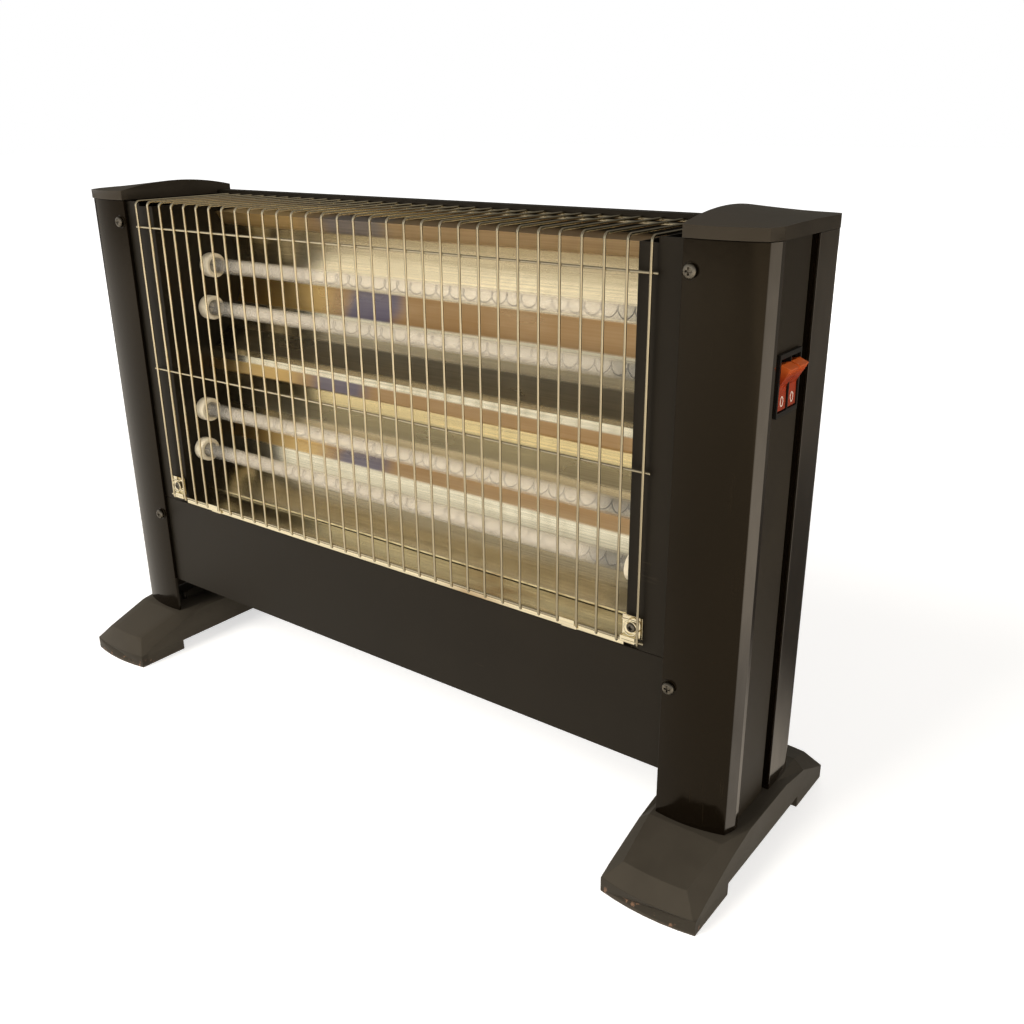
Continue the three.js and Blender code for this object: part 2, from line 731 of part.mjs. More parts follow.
const basePlateHalf = towerInnerX - webClearance;
const basePlate = box(
  [-basePlateHalf, flangeY + sheet + seat, basePlateZ],
  [basePlateHalf, backSheetY - sheet - seat, caseFloorZ],
);
add('base_plate', geometryOf(basePlate), blackSteel);

// ---------------------------------------------------------------- places of the tubes

// the middle of the nose, on the tubes' plane
const leanY =
  flangeY +
  trayDepth +
  reflectorLipGap +
  (noseHalfHeight + lowerTroughWidth) * Math.sin(leanAngle) -
  lipBack * Math.cos(leanAngle);
const leanZ =
  reflectorTopZ -
  (noseHalfHeight + upperTroughWidth) * Math.cos(leanAngle) +
  lipBack * Math.sin(leanAngle);

/** A point of the leaning assembly: up along the lean, and back square to it. */
const leaned = (up, back) => [
  leanY + up * Math.sin(leanAngle) + back * Math.cos(leanAngle),
  leanZ + up * Math.cos(leanAngle) - back * Math.sin(leanAngle),
];

const pairMiddles = [
  noseHalfHeight + upperTroughWidth / 2 - upperPairDrop,
  -noseHalfHeight - lowerTroughWidth / 2 - lowerPairDrop,
];
const tubeCentres = pairMiddles.flatMap((middle) =>
  [1, -1].map((one) => leaned(middle + (one * tubePitch) / 2, 0)),
);

// ---------------------------------------------------------------- end frames

/** A folded steel frame at one end: its flange shows beside the guard, its wall holds the tubes. */
function endFrame() {
  const path = [
    [endFrameX, backSheetY - sheet - seat],
    [endFrameX, flangeY + flangeSlantDepth],
    [endFrameX + flangeSlantWidth, flangeY],
    [sheetEndX, flangeY],
  ];
  const bottom = caseFloorZ + seat;
  const body = prismZ(wallOutline(path, sheet), bottom, shellTopZ - seat);
  const lowerFront = box(
    [endFrameX - 5, flangeY - 5, bottom - 5],
    [sheetEndX + 5, flangeY + caseFlange + seat, frontPanelTopZ + seat],
  );
  const rail = box(
    [endFrameX - 5, railFrontY - seat, railTopZ - railLip - seat],
    [sheetEndX + 5, backSheetY + 5, railTopZ + 5],
  );
  const guardTop = box(
    [endFrameX - 5, flangeY - 5, guardTopZ - crossWireStep - wireRadius - seat],
    [lastWireX + topCrossOverhang + seat, backSheetY, railTopZ + 5],
  );
  const holes = tubeCentres.map((centre) =>
    rod('x', ceramicNeckDiameter / 2 + seat, endFrameX - 5, endFrameX + 5, centre, tubeSides),
  );
  const shellScrew = rod('y', screwShankDiameter / 2 + seat, flangeY - 5, flangeY + 5, [screwX, screwZ[0]]);
  const clipScrew = rod('y', screwShankDiameter / 2 + seat, flangeY - 5, flangeY + 5, [clipX, clipZ]);
  return cut(body, lowerFront, rail, guardTop, ...holes, shellScrew, clipScrew);
}

addPair('end_frame', endFrame(), blackSteel);

// ---------------------------------------------------------------- reflector

/** Points of one trough, from its upper lip to its lower one, in the leaning frame. */
function trough(upperLip, lowerLip) {
  const middle = (upperLip + lowerLip) / 2;
  const half = (upperLip - lowerLip) / 2;
  return Array.from({ length: troughSteps + 1 }, (_, i) => {
    const up = upperLip + ((lowerLip - upperLip) * i) / troughSteps;
    const back = troughBack - troughDepth * ((up - middle) / half) ** 2;
    return leaned(up, back);
  });
}

/** One bent sheet: the deck, the upper trough, the nose, the lower trough and a turned-down lip. */
function reflector() {
  const upper = trough(noseHalfHeight + upperTroughWidth, noseHalfHeight);
  const lower = trough(-noseHalfHeight, -noseHalfHeight - lowerTroughWidth);
  const [lipY, lipZ] = lower[lower.length - 1];
  const deckRear = [railFrontY - deckRailGap, upper[0][1] + deckRise];
  const path = [deckRear, ...upper, ...lower, [lipY + seat, lipZ - reflectorLipDrop]];
  const halfWidth = endFrameX - seat;
  return prismX(wallOutline(path, reflectorSheet), -halfWidth, halfWidth);
}

add('reflector', geometryOf(reflector()), mirrorSheet);

/** The polished tray under the guard, which rises towards the reflector. */
function tray() {
  const front = flangeY + trayInset;
  const rear = flangeY + trayDepth;
  const path = [
    [rear, trayTopZ - trayRearFold],
    [rear, trayTopZ],
    [front, trayBottomZ + trayFrontFace],
    [front, trayBottomZ],
    [front + trayFoot, trayBottomZ],
  ];
  const halfWidth = endFrameX - seat;
  return prismX(wallOutline(path, reflectorSheet), -halfWidth, halfWidth);
}

add('guard_tray', geometryOf(tray()), mirrorSheet);

// ---------------------------------------------------------------- tubes, coils and ceramic caps

const tubeGeometry = geometryOf(
  turned(
    [
      [-tubeEndX, tubeRadius - tubeWall],
      [-tubeEndX, tubeRadius],
      [tubeEndX, tubeRadius],
      [tubeEndX, tubeRadius - tubeWall],
      [-tubeEndX, tubeRadius - tubeWall],
    ],
    tubeSides,
  ),
);

/** One heating coil: a straight lead, the curls, and a straight lead, in one unbroken wire. */
function heatingCoil() {
  const turnHalf = tubeEndX - coilColdEnd;
  const leadEnd = endFrameX + ceramicNeckLength + 2;
  const radius = tubeRadius - tubeWall - coilClearance - coilWire / 2;
  const steps = coilCurls * coilSteps;
  const line = [[-leadEnd, 0, 0], [-turnHalf - tubeDiameter / 2, 0, 0]];
  for (let i = 0; i <= steps; i += 1) {
    const angle = (2 * Math.PI * i) / coilSteps;
    line.push([-turnHalf + (2 * turnHalf * i) / steps, radius * Math.cos(angle), radius * Math.sin(angle)]);
  }
  line.push([turnHalf + tubeDiameter / 2, 0, 0], [leadEnd, 0, 0]);
  const points = line.map((point) => new THREE.Vector3(...point));
  const rings = points.map((point, i) => {
    const before = points[Math.max(i - 1, 0)];
    const after = points[Math.min(i + 1, points.length - 1)];
    const along = new THREE.Vector3().subVectors(after, before).normalize();
    const outward = new THREE.Vector3(0, 1, 0);
    if (i > 1 && i < points.length - 2) outward.set(0, point.y, point.z).normalize();
    const side = new THREE.Vector3().crossVectors(along, outward).normalize();
    const up = new THREE.Vector3().crossVectors(side, along).normalize();
    return Array.from({ length: coilSides }, (_, k) => {
      const angle = (2 * Math.PI * k) / coilSides;
      return point
        .clone()
        .addScaledVector(up, (coilWire / 2) * Math.cos(angle))
        .addScaledVector(side, (coilWire / 2) * Math.sin(angle))
        .toArray();
    });
  });
  return { geometry: skin(rings), points };
}

/** The least gap between a coil's wire and itself, measured on its centre line's points. */
function coilSelfGap(points) {
  const skip = Math.ceil(coilSteps / 2);
  let least = Infinity;
  for (let i = 0; i < points.length; i += 1) {
    for (let j = i + skip; j < points.length; j += 1) {
      least = Math.min(least, points[i].distanceTo(points[j]));
    }
  }
  return least - coilWire;
}

const coil = heatingCoil();
console.log(`least gap of a heating coil to itself: ${coilSelfGap(coil.points).toFixed(2)} mm`);

/** A ceramic cap for the right end: its body inside the frame, its neck through the wall. */
const ceramicGeometry = geometryOf(
  turned(
    [
      [ceramicFaceX, tubeRadius + seat],
      [ceramicFaceX, ceramicDiameter / 2],
      [endFrameX - seat, ceramicDiameter / 2],
      [endFrameX - seat, ceramicNeckDiameter / 2],
      [endFrameX + ceramicNeckLength, ceramicNeckDiameter / 2],
      [endFrameX + ceramicNeckLength, leadHoleDiameter / 2],
      [endFrameX - seat - ceramicFloor, leadHoleDiameter / 2],
      [endFrameX - seat - ceramicFloor, tubeRadius + seat],
      [ceramicFaceX, tubeRadius + seat],
    ],
    tubeSides,
  ),
);

tubeCentres.forEach(([y, z], index) => {
  const place = new THREE.Group();
  place.position.set(0, y, z);
  model.add(place);
  const number = index + 1;
  add(`quartz_tube_${number}`, tubeGeometry.clone(), milkyQuartz, place);
  add(`heating_coil_${number}`, coil.geometry.clone(), coilAlloy, place);
  add(`ceramic_cap_${number}_right`, ceramicGeometry.clone(), ceramic, place);
  add(`ceramic_cap_${number}_left`, mirrored(ceramicGeometry), ceramic, place);
});

// ---------------------------------------------------------------- wire guard

/** The path of one upright wire in (y, z): up the front and back over the top to the rail. */
function uprightPath() {
  const bends = 2;
  const top = Array.from({ length: bends + 1 }, (_, i) => {
    const angle = Math.PI - (Math.PI / 2) * (i / bends);
    return [
      guardFrontY + guardBendRadius * (1 + Math.cos(angle)),
      guardTopZ - guardBendRadius * (1 - Math.sin(angle)),
    ];
  });
  return [[guardFrontY, guardBottomZ], ...top, [railFrontY - seat, guardTopZ]];
}

/** One upright wire as a skin whose rings stand square to its path. */
function uprightWire(x) {
  const path = uprightPath();
  const rings = path.map((point, i) => {
    const before = path[Math.max(i - 1, 0)];
    const after = path[Math.min(i + 1, path.length - 1)];
    const length = Math.hypot(after[0] - before[0], after[1] - before[1]);
    const normal = [-(after[1] - before[1]) / length, (after[0] - before[0]) / length];
    return Array.from({ length: wireSides }, (_, k) => {
      const angle = k * wireSideAngle;
      const out = wireRadius * Math.cos(angle);
      return [x + wireRadius * Math.sin(angle), point[0] + normal[0] * out, point[1] + normal[1] * out];
    });
  });
  return solid(skin(rings));
}

/** A level wire behind the uprights, from one side to the other. */
const crossWire = (reach, y, z) => rod('x', wireRadius, -reach, reach, [y, z], wireSides);

/** The whole guard, welded. */
function guard() {
  const uprights = Array.from({ length: guardWires }, (_, i) => uprightWire(i * wirePitch - lastWireX));
  const reach = lastWireX + crossWireOverhang;
  const frontZ = [...frontCrossDrops.map((drop) => guardTopZ - drop), bottomCrossZ];
  const front = frontZ.map((z) => crossWire(reach, guardCrossY, z));
  const topReach = lastWireX + topCrossOverhang;
  const topY = topCrossSetbacks.map((setback) => railFrontY - setback);
  const top = topY.map((y) => crossWire(topReach, y, guardTopZ - crossWireStep));
  return join(...uprights, ...front, ...top);
}

add('guard', geometryOf(guard()), nickelWire);

// ---------------------------------------------------------------- guard clips and tabs

const hookY = guardCrossY - wireRadius - seat; // in front of the guard's bottom cross wire
const hookHalfWidth = wirePitch / 2 - wireRadius - seat; // a hook fits between two uprights
const clipRearY = flangeY - seat;
const clipPlateY = clipRearY - clipSheet;

/** A pressed clip on the end frame's flange: a plate whose lower edge hooks over the guard. */
function guardClip() {
  const inner = clipX - clipWidth / 2;
  const plate = box(
    [inner, clipPlateY, clipBottomZ],
    [clipX + clipWidth / 2, clipRearY, clipBottomZ + clipHeight],
  );
  const path = [
    [clipRearY - clipSheet / 2, clipBottomZ],
    [hookY, clipBottomZ],
    [hookY, bottomCrossZ - hookDrop],
  ];
  const hook = prismX(wallOutline(path, -clipSheet), inner, lastWireX - wirePitch / 2 + hookHalfWidth);
  const hole = rod('y', screwShankDiameter / 2 + seat, clipRearY - 3, clipRearY + 2, [clipX, clipZ]);
  return cut(join(plate, hook), hole);
}

/** A small bent tab on the tray's front, between two uprights, that hooks the guard's bottom wire. */
function guardTab() {
  const underWire = bottomCrossZ - wireRadius - seat;
  const path = [
    [clipRearY, trayBottomZ + seat],
    [clipRearY, underWire],
    [hookY, underWire],
    [hookY, bottomCrossZ + hookDrop],
  ];
  const middle = lastWireX - tabGapsIn * wirePitch;
  return prismX(wallOutline(path, clipSheet), middle - hookHalfWidth, middle + hookHalfWidth);
}

// ---------------------------------------------------------------- screws

/** A pan-head screw about X: its head towards +X, its seat at x = 0, with a cross recess. */
function panScrew(headDiameter) {
  const head = headDiameter / 2;
  const shank = screwShankDiameter / 2;
  const body = turned(
    [
      [-screwLength, 0],
      [-screwLength, shank],
      [0, shank],
      [0, head],
      [screwHeadHeight / 2, head],
      [screwHeadHeight, head / 2],
      [screwHeadHeight, 0],
    ],
    10,
  );
  const halfArm = (crossRecessArm * headDiameter) / screwHeadDiameter;
  const halfWidth = crossRecessWidth / 2;
  const recess = [
    box([screwHeadHeight / 2, -halfWidth, -halfArm], [screwHeadHeight + 1, halfWidth, halfArm]),
    box([screwHeadHeight / 2, -halfArm, -halfWidth], [screwHeadHeight + 1, halfArm, halfWidth]),
  ];
  return geometryOf(cut(body, ...recess));
}

/** A screw with its seat at a point and its head along a direction. */
function addScrew(name, geometry, place, direction) {
  const mesh = add(name, geometry.clone(), screwSteel);
  mesh.position.set(...place);
  mesh.quaternion.setFromUnitVectors(new THREE.Vector3(1, 0, 0), new THREE.Vector3(...direction));
}

const caseScrew = panScrew(screwHeadDiameter);
const clipScrew = panScrew(clipScrewHeadDiameter);
const sides = [['right', 1], ['left', -1]];
sides.forEach(([side, sign]) => {
  [['upper', 0], ['lower', 1]].forEach(([row, index]) => {
    const frontPlace = [sign * screwX, screwSeatY, screwZ[index]];
    addScrew(`front_screw_${row}_${side}`, caseScrew, frontPlace, [0, -1, 0]);
  });
  addScrew(`rear_screw_${side}`, caseScrew, [sign * screwX, rearScrewSeatY, rearScrewZ], [0, 1, 0]);
  addScrew(`clip_screw_${side}`, clipScrew, [sign * clipX, clipPlateY - seat, clipZ], [0, -1, 0]);
});

/** The long screw that holds a shell to the foot, its head in the foot's arch. */
function footScrew() {
  const head = footScrewHeadDiameter / 2;
  const shank = screwShankDiameter / 2;
  const length = shellBottomZ + shellWeb - footScrewSeatZ + 2;
  const profile = [[-length, 0], [-length, shank], [0, shank], [0, head]];
  profile.push([footScrewHeadHeight, head], [footScrewHeadHeight, 0]);
  return geometryOf(turned(profile, 12));
}

const footScrewGeometry = footScrew();
sides.forEach(([side, sign]) => {
  [['front', 0], ['rear', 1]].forEach(([row, index]) => {
    const place = [sign * footScrewX, footScrewY[index], footScrewSeatZ - seat];
    addScrew(`foot_screw_${row}_${side}`, footScrewGeometry, place, [0, 0, -1]);
  });
});

addPair('guard_clip', guardClip(), mirrorSheet);
addPair('guard_tab', guardTab(), mirrorSheet);

// ---------------------------------------------------------------- rocker switch

const pivotX = towerOuterX - rockerPivotInset;
const rockerOffset = (rockerDividerWall + rockerWidth) / 2 + rockerGap;

/** The switch housing: a bezel on the panel, and a box with a bay for each rocker. */
function switchHousing() {
  const bezelBack = panelX + seat;
  const bezel = box(
    [bezelBack, switchY - bezelWidth / 2, switchZ - bezelHeight / 2],
    [bezelBack + bezelThickness, switchY + bezelWidth / 2, switchZ + bezelHeight / 2],
  );
  const bodyBack = panelX - switchBodyDepth;
  const body = box(
    [bodyBack, switchY - switchBodyHalfWidth, switchZ - switchBodyHalfHeight],
    [bezelBack + 0.2, switchY + switchBodyHalfWidth, switchZ + switchBodyHalfHeight],
  );
  const bays = [-1, 1].map((side) => {
    const centre = switchY + side * rockerOffset;
    const half = rockerWidth / 2 + rockerGap;
    return box(
      [bodyBack + 2, centre - half, switchZ - switchOpeningHeight / 2],
      [bezelBack + bezelThickness + 1, centre + half, switchZ + switchOpeningHeight / 2],
    );
  });
  const reach = switchBodyHalfWidth + 1;
  const axleHole = rod('y', axleDiameter / 2 + seat, switchY - reach, switchY + reach, [pivotX, switchZ], 12);
  return cut(join(bezel, body), ...bays, axleHole);
}

/** A rocker's side view about its pivot, as it stands when off: its top end out. */
function rockerOutline() {
  const upper = [
    [rockerEndRise, rockerFaceHalf],
    [rockerUnder, rockerSideHalf],
    [-rockerUnder, rockerSideHalf - rockerUnder],
  ];
  const lower = upper.map(([out, up]) => [out, -up]).reverse();
  const cos = Math.cos(rockerRestTilt);
  const sin = Math.sin(rockerRestTilt);
  return [[rockerNotchRise, 0], ...upper, ...lower].map(([out, up]) => [
    pivotX + out * cos + up * sin,
    switchZ - out * sin + up * cos,
  ]);
}

function rocker(side) {
  const centre = switchY + side * rockerOffset;
  const body = prismY(rockerOutline(), centre - rockerWidth / 2, centre + rockerWidth / 2);
  const reach = rockerWidth / 2 + 1;
  return cut(body, rod('y', axleDiameter / 2 + seat, centre - reach, centre + reach, [pivotX, switchZ], 12));
}

add('switch_housing', geometryOf(switchHousing()), switchBlack);
add('rocker_front', geometryOf(rocker(-1)), rockerRed);
add('rocker_rear', geometryOf(rocker(1)), rockerRed);
const axleReach = switchBodyHalfWidth;
const axle = rod('y', axleDiameter / 2, switchY - axleReach, switchY + axleReach, [pivotX, switchZ], 12);
add('rocker_axle', geometryOf(axle), screwSteel);

// ---------------------------------------------------------------- electrics

/** The terminal block on the base plate, with a row of wire pockets. */
function terminalBlock() {
  const [length, depth, height] = blockSize;
  const bottom = caseFloorZ + seat;
  const front = towerCentreY + blockSetback;
  const low = [inletX - length / 2, front, bottom];
  const body = box(low, [inletX + length / 2, front + depth, bottom + height]);
  const pockets = Array.from({ length: blockPockets }, (_, i) => {
    const x = inletX + (i - (blockPockets - 1) / 2) * blockPocketPitch;
    const place = [x, front + depth / 2];
    return rod('z', blockPocketRadius, bottom + blockPocketFloor, bottom + height + 1, place, 10);
  });
  return cut(body, ...pockets);
}

add('terminal_block', geometryOf(terminalBlock()), blockPlastic);

/** The bush in the rear panel that the mains lead passes through. */
const bush = turned(
  [
    [-bushNeckLength, bushBoreRadius],
    [-bushNeckLength, bushNeckRadius],
    [seat, bushNeckRadius],
    [seat, bushFlangeRadius],
    [bushHead / 2, bushFlangeRadius],
    [bushHead, bushNeckRadius],
    [bushHead, bushBoreRadius],
    [-bushNeckLength, bushBoreRadius],
  ],
  16,
);
const bushMesh = add('cable_bush', geometryOf(bush), wireInsulation);
bushMesh.rotation.z = Math.PI / 2;
bushMesh.position.set(inletX, backSheetY, bushZ);

const cutoutBack = backSheetY - sheet - seat;
const cutoutFront = cutoutBack - cutoutHeight;
const cutoutPlace = [cutoutInset - endFrameX, railTopZ - cutoutDrop];
const cutout = join(
  rod('y', cutoutRadius, cutoutFront, cutoutBack, cutoutPlace),
  rod('y', cutoutPinRadius, cutoutFront - cutoutPinLength, cutoutFront + 1, cutoutPlace),
);
add('thermal_cutout', geometryOf(cutout), blockPlastic);

/** The wiring in one tower, from behind the tubes' ends down to the case's floor. */
function wiring() {
  const x = endFrameX + ceramicNeckLength + 2 * wiringDiameter;
  const [back, above] = wiringSetbacks;
  const [topY, topZ] = tubeCentres[0];
  const [bottomY, bottomZ] = tubeCentres[tubeCentres.length - 1];
  const points = [
    [x, topY + back, topZ + above],
    [x, bottomY + back, bottomZ],
    [x, towerCentreY, caseFloorZ + wiringBendRise],
    [x, towerCentreY + wiringFootSetback, caseFloorZ + 2 * seat],
  ].map((point) => new THREE.Vector3(...point));
  return solid(bar(points, wiringDiameter / 2, 8, 14));
}

addPair('wiring', wiring(), wireInsulation);

export default model;
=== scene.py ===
"""A halogen heater: two hollow towers on moulded feet, with a leaning mirror sheet, four quartz
tubes and a wire guard between them.

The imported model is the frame. Each operator makes one piece, or one group of like pieces, in place
around it, and the stage operator adds the floor, the lights and the camera.
"""

import math
import bmesh
import bpy
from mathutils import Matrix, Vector


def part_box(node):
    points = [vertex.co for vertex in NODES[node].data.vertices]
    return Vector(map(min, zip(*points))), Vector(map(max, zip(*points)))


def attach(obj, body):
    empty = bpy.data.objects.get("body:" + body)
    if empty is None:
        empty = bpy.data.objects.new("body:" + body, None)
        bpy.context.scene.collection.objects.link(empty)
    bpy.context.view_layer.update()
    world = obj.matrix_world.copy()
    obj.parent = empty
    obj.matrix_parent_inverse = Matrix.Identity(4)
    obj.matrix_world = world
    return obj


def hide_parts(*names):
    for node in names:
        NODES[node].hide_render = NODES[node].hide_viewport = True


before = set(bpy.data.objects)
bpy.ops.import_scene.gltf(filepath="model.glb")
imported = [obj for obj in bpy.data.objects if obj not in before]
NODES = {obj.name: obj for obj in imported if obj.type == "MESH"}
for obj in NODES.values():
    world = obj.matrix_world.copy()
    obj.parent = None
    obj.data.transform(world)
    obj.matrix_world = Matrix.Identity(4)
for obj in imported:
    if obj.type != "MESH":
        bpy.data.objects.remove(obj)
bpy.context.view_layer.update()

bl_info = {
    "name": "Halogen heater",
    "version": (1, 0, 0),
    "blender": (4, 5, 0),
    "location": "View3D > Sidebar > Heater",
    "description": "Makes the finished pieces of a halogen heater around its packed frame",
    "category": "Object",
}

X, Y, Z = Vector((1, 0, 0)), Vector((0, 1, 0)), Vector((0, 0, 1))


def mm(*values):
    """A length, or a point when three are given, from millimetres."""
    scaled = [value / 1000 for value in values]
    return Vector(scaled) if len(scaled) > 1 else scaled[0]


# ---------------------------------------------------------------- sizes and colours


def length(name, value, description):
    """A length property whose default is given in millimetres."""
    return bpy.props.FloatProperty(
        name=name, description=description, default=mm(value), min=0, precision=5, unit="LENGTH"
    )


def colour(name, value, description):
    """A colour property, its default given in linear values."""
    return bpy.props.FloatVectorProperty(
        name=name, description=description, default=value, min=0, max=1, size=3, subtype="COLOR"
    )


class HeaterSizes(bpy.types.PropertyGroup):
    """Sizes of the finished pieces"""

    shell_wall: length("Shell wall", 2.2, "Wall of the moulded shells")
    shell_edge: length("Shell edge", 0.5, "Radius along the shells' edges")
    cap_edge: length("Cap edge", 1.1, "Radius round the caps' rims")
    foot_edge: length("Foot edge", 0.9, "Radius along the feet's edges")
    sheet_edge: length("Sheet edge", 0.35, "Radius along folded steel sheets")
    mirror_wall: length("Mirror sheet", 0.8, "Thickness of the polished sheets")
    wire: length("Guard wire", 1.5, "Diameter of the guard's wires")
    tube_wall: length("Tube wall", 1.2, "Wall of the quartz tubes")
    coil_wire: length("Coil wire", 0.9, "Diameter of the heating coils' wire")
    coil_radius: length("Coil radius", 3.3, "Radius of the heating coils' curls")
    coil_curls: bpy.props.IntProperty(
        name="Coil curls", description="Number of curls in each heating coil", default=33, min=1
    )
    louvre_depth: length("Louvre depth", 2.4, "How far the rear louvres stand out")


class HeaterColours(bpy.types.PropertyGroup):
    """Colours of the finishes"""

    shell: colour("Shells", (0.0045, 0.0030, 0.0016), "Near-black brown gloss plastic")
    panel: colour("Side panels", (0.018, 0.014, 0.009), "Satin paint")
    cap: colour("Caps", (0.030, 0.024, 0.017), "Satin moulded plastic")
    foot: colour("Feet", (0.050, 0.043, 0.033), "Matt moulded plastic")
    case: colour("Case", (0.0085, 0.0068, 0.0046), "Powder coat")
    mirror: colour("Mirror", (0.88, 0.79, 0.56), "Polished aluminium")
    # the next four colours are painted reflections of the room on the mirror sheets
    amber: colour("Amber tint", (0.36, 0.19, 0.06), "Amber heat tint of the mirror")
    dark_reflection: colour("Smoke tint", (0.13, 0.12, 0.10), "Dark heat tint of the mirror")
    gold: colour("Gold tint", (0.66, 0.40, 0.10), "Yellow heat tint at the mirror's end")
    blue: colour("Blue tint", (0.055, 0.055, 0.14), "Blue heat tint across the mirror")
    wire: colour("Wire", (0.58, 0.50, 0.34), "Nickel plate")
    quartz: colour("Quartz", (0.88, 0.80, 0.66), "Milky quartz")
    coil: colour("Coil", (0.36, 0.33, 0.29), "Oxidised resistance wire")
    ceramic: colour("Ceramic", (0.92, 0.82, 0.62), "Unglazed ceramic")
    bezel: colour("Bezel", (0.010, 0.009, 0.008), "Black switch plastic")
    rocker: colour("Rocker", (0.36, 0.036, 0.008), "Red-orange switch plastic")
    zinc: colour("Zinc", (0.16, 0.14, 0.11), "Plated screws")
    mark: colour("Mark", (0.95, 0.80, 0.68), "Marks on the rockers")


def sizes():
    return bpy.context.scene.heater_sizes


def colours():
    return bpy.context.scene.heater_colours


# ---------------------------------------------------------------- modelling


def activate(*pieces):
    """Selects these pieces alone."""
    bpy.ops.object.select_all(action="DESELECT")
    for piece in pieces:
        piece.select_set(True)
    bpy.context.view_layer.objects.active = pieces[0]


def edit(piece):
    activate(piece)
    bpy.ops.object.mode_set(mode="EDIT")
    bpy.ops.mesh.select_mode(type="VERT")


def leave():
    bpy.ops.object.mode_set(mode="OBJECT")


def whole(piece, operator, **settings):
    """Runs an edit operator on all of a piece."""
    edit(piece)
    bpy.ops.mesh.select_all(action="SELECT")
    operator(**settings)
    leave()


def named(piece, name):
    piece.name = name
    piece.data.name = name
    return piece


def begin(name, kind, **settings):
    """Adds a primitive with its place in its mesh, and leaves it in edit mode, all selected."""
    bpy.ops.object.select_all(action="DESELECT")
    getattr(bpy.ops.mesh, f"primitive_{kind}_add")(**settings)
    piece = named(bpy.context.object, name)
    bpy.ops.object.transform_apply(location=True, rotation=True, scale=True)
    bpy.ops.object.mode_set(mode="EDIT")
    bpy.ops.mesh.select_mode(type="VERT")
    bpy.ops.mesh.select_all(action="SELECT")
    return piece


def pick(piece, kind, test):
    """In edit mode, selects the vertices, edges or faces that pass a test."""
    bpy.ops.mesh.select_mode(type=kind)
    bpy.ops.mesh.select_all(action="DESELECT")
    mesh = bmesh.from_edit_mesh(piece.data)
    items = {"VERT": mesh.verts, "EDGE": mesh.edges, "FACE": mesh.faces}[kind]
    found = [item for item in items if test(item)]
    if not found:
        raise RuntimeError(f"nothing to pick on {piece.name}")
    for item in found:
        item.select_set(True)
    mesh.select_flush_mode()
    bmesh.update_edit_mesh(piece.data)


def push(move):
    """Extrudes what is selected."""
    bpy.ops.mesh.extrude_region_move(TRANSFORM_OT_translate={"value": move})


def turn(centre, axis, angle, steps):
    """Extrudes what is selected round an axis, the right-handed way."""
    bpy.ops.mesh.spin(steps=steps, angle=-angle, center=centre, axis=axis)


class Arc:
    """A move along an arc to a point: `rise` gives its height and the side it stands out on."""

    def __init__(self, end, rise, steps=8):
        self.end, self.rise, self.steps = end, rise, steps

    def draw(self, start):
        chord = self.end - start
        rise = self.rise.length
        out = (self.rise - self.rise.project(chord)).normalized()
        radius = (chord.length_squared / 4 + rise * rise) / (2 * rise)
        centre = (start + self.end) / 2 + out * (rise - radius)
        angle = 2 * math.asin(chord.length / 2 / radius)
        turn(centre, out.cross(chord).normalized(), angle, self.steps)
        return self.end


def draw(name, start, moves):
    """Draws a line from a point through moves, each a point or an arc, and stays in edit mode."""
    piece = begin(name, "plane", size=mm(1), location=start)
    bpy.ops.mesh.merge(type="CENTER")
    here = start
    for move in moves:
        if isinstance(move, Arc):
            here = move.draw(here)
        else:
            push(move - here)
            here = move
    bpy.ops.mesh.select_all(action="SELECT")
    bpy.ops.mesh.remove_doubles(threshold=mm(0.002))
    return piece


def modify(piece, kind, **settings):
    """Adds a modifier and applies it."""
    activate(piece)
    modifier = piece.modifiers.new(kind.title(), kind)
    for key, value in settings.items():
        setattr(modifier, key, value)
    bpy.ops.object.modifier_apply(modifier=modifier.name)
    return piece


def soften(piece, width, segments=2, angle=30, smooth=35):
    """Rounds the edges that turn by more than an angle, and shades the rest smooth."""
    if width:
        modify(
            piece,
            "BEVEL",
            width=width,
            segments=segments,
            limit_method="ANGLE",
            angle_limit=math.radians(angle),
        )
    activate(piece)
    bpy.ops.object.shade_smooth_by_angle(angle=math.radians(smooth))
    if width:
        modify(piece, "WEIGHTED_NORMAL", keep_sharp=True)
    return piece


def volume(piece):
    mesh = bmesh.new()
    mesh.from_mesh(piece.data)
    total = mesh.calc_volume(signed=True)
    mesh.free()
    return total


def outward(piece):
    """Turns a closed piece's faces outwards, each the way of its neighbours."""
    whole(piece, bpy.ops.mesh.normals_make_consistent, inside=False)
    if volume(piece) < 0:
        whole(piece, bpy.ops.mesh.flip_normals)
    return piece


def sheet(name, start, moves, sweep, wall, toward):
    """A bent sheet: a drawn line pulled along, with its wall on one side of the first face."""
    piece = draw(name, start, moves)
    push(sweep)
    bpy.ops.mesh.select_all(action="SELECT")
    bpy.ops.mesh.normals_make_consistent(inside=False)
    leave()
    middle = start + sweep / 2
    first = min(piece.data.polygons, key=lambda face: (face.center - middle).length)
    if first.normal.dot(toward) > 0:
        whole(piece, bpy.ops.mesh.flip_normals)
    return modify(piece, "SOLIDIFY", thickness=wall, offset=-1, use_even_offset=True)


def lathe(name, profile, axis_point, steps=32, direction=X):
    """A closed profile of (along, out) points in millimetres, turned about an axis."""
    out = Z if abs(direction.z) < 0.5 else X
    points = [axis_point + direction * mm(along) + out * mm(far) for along, far in profile]
    piece = draw(name, points[0], points[1:] + points[:1])
    turn(axis_point, direction, math.tau, steps)
    bpy.ops.mesh.select_all(action="SELECT")
    bpy.ops.mesh.remove_doubles(threshold=mm(0.002))
    leave()
    return outward(piece)


def copied(piece, name, move=None):
    """A copy with its own mesh, moved inside it."""
    activate(piece)
    bpy.ops.object.duplicate(linked=False)
    other = named(bpy.context.object, name)
    if move is not None:
        whole(other, bpy.ops.transform.translate, value=move)
    return other


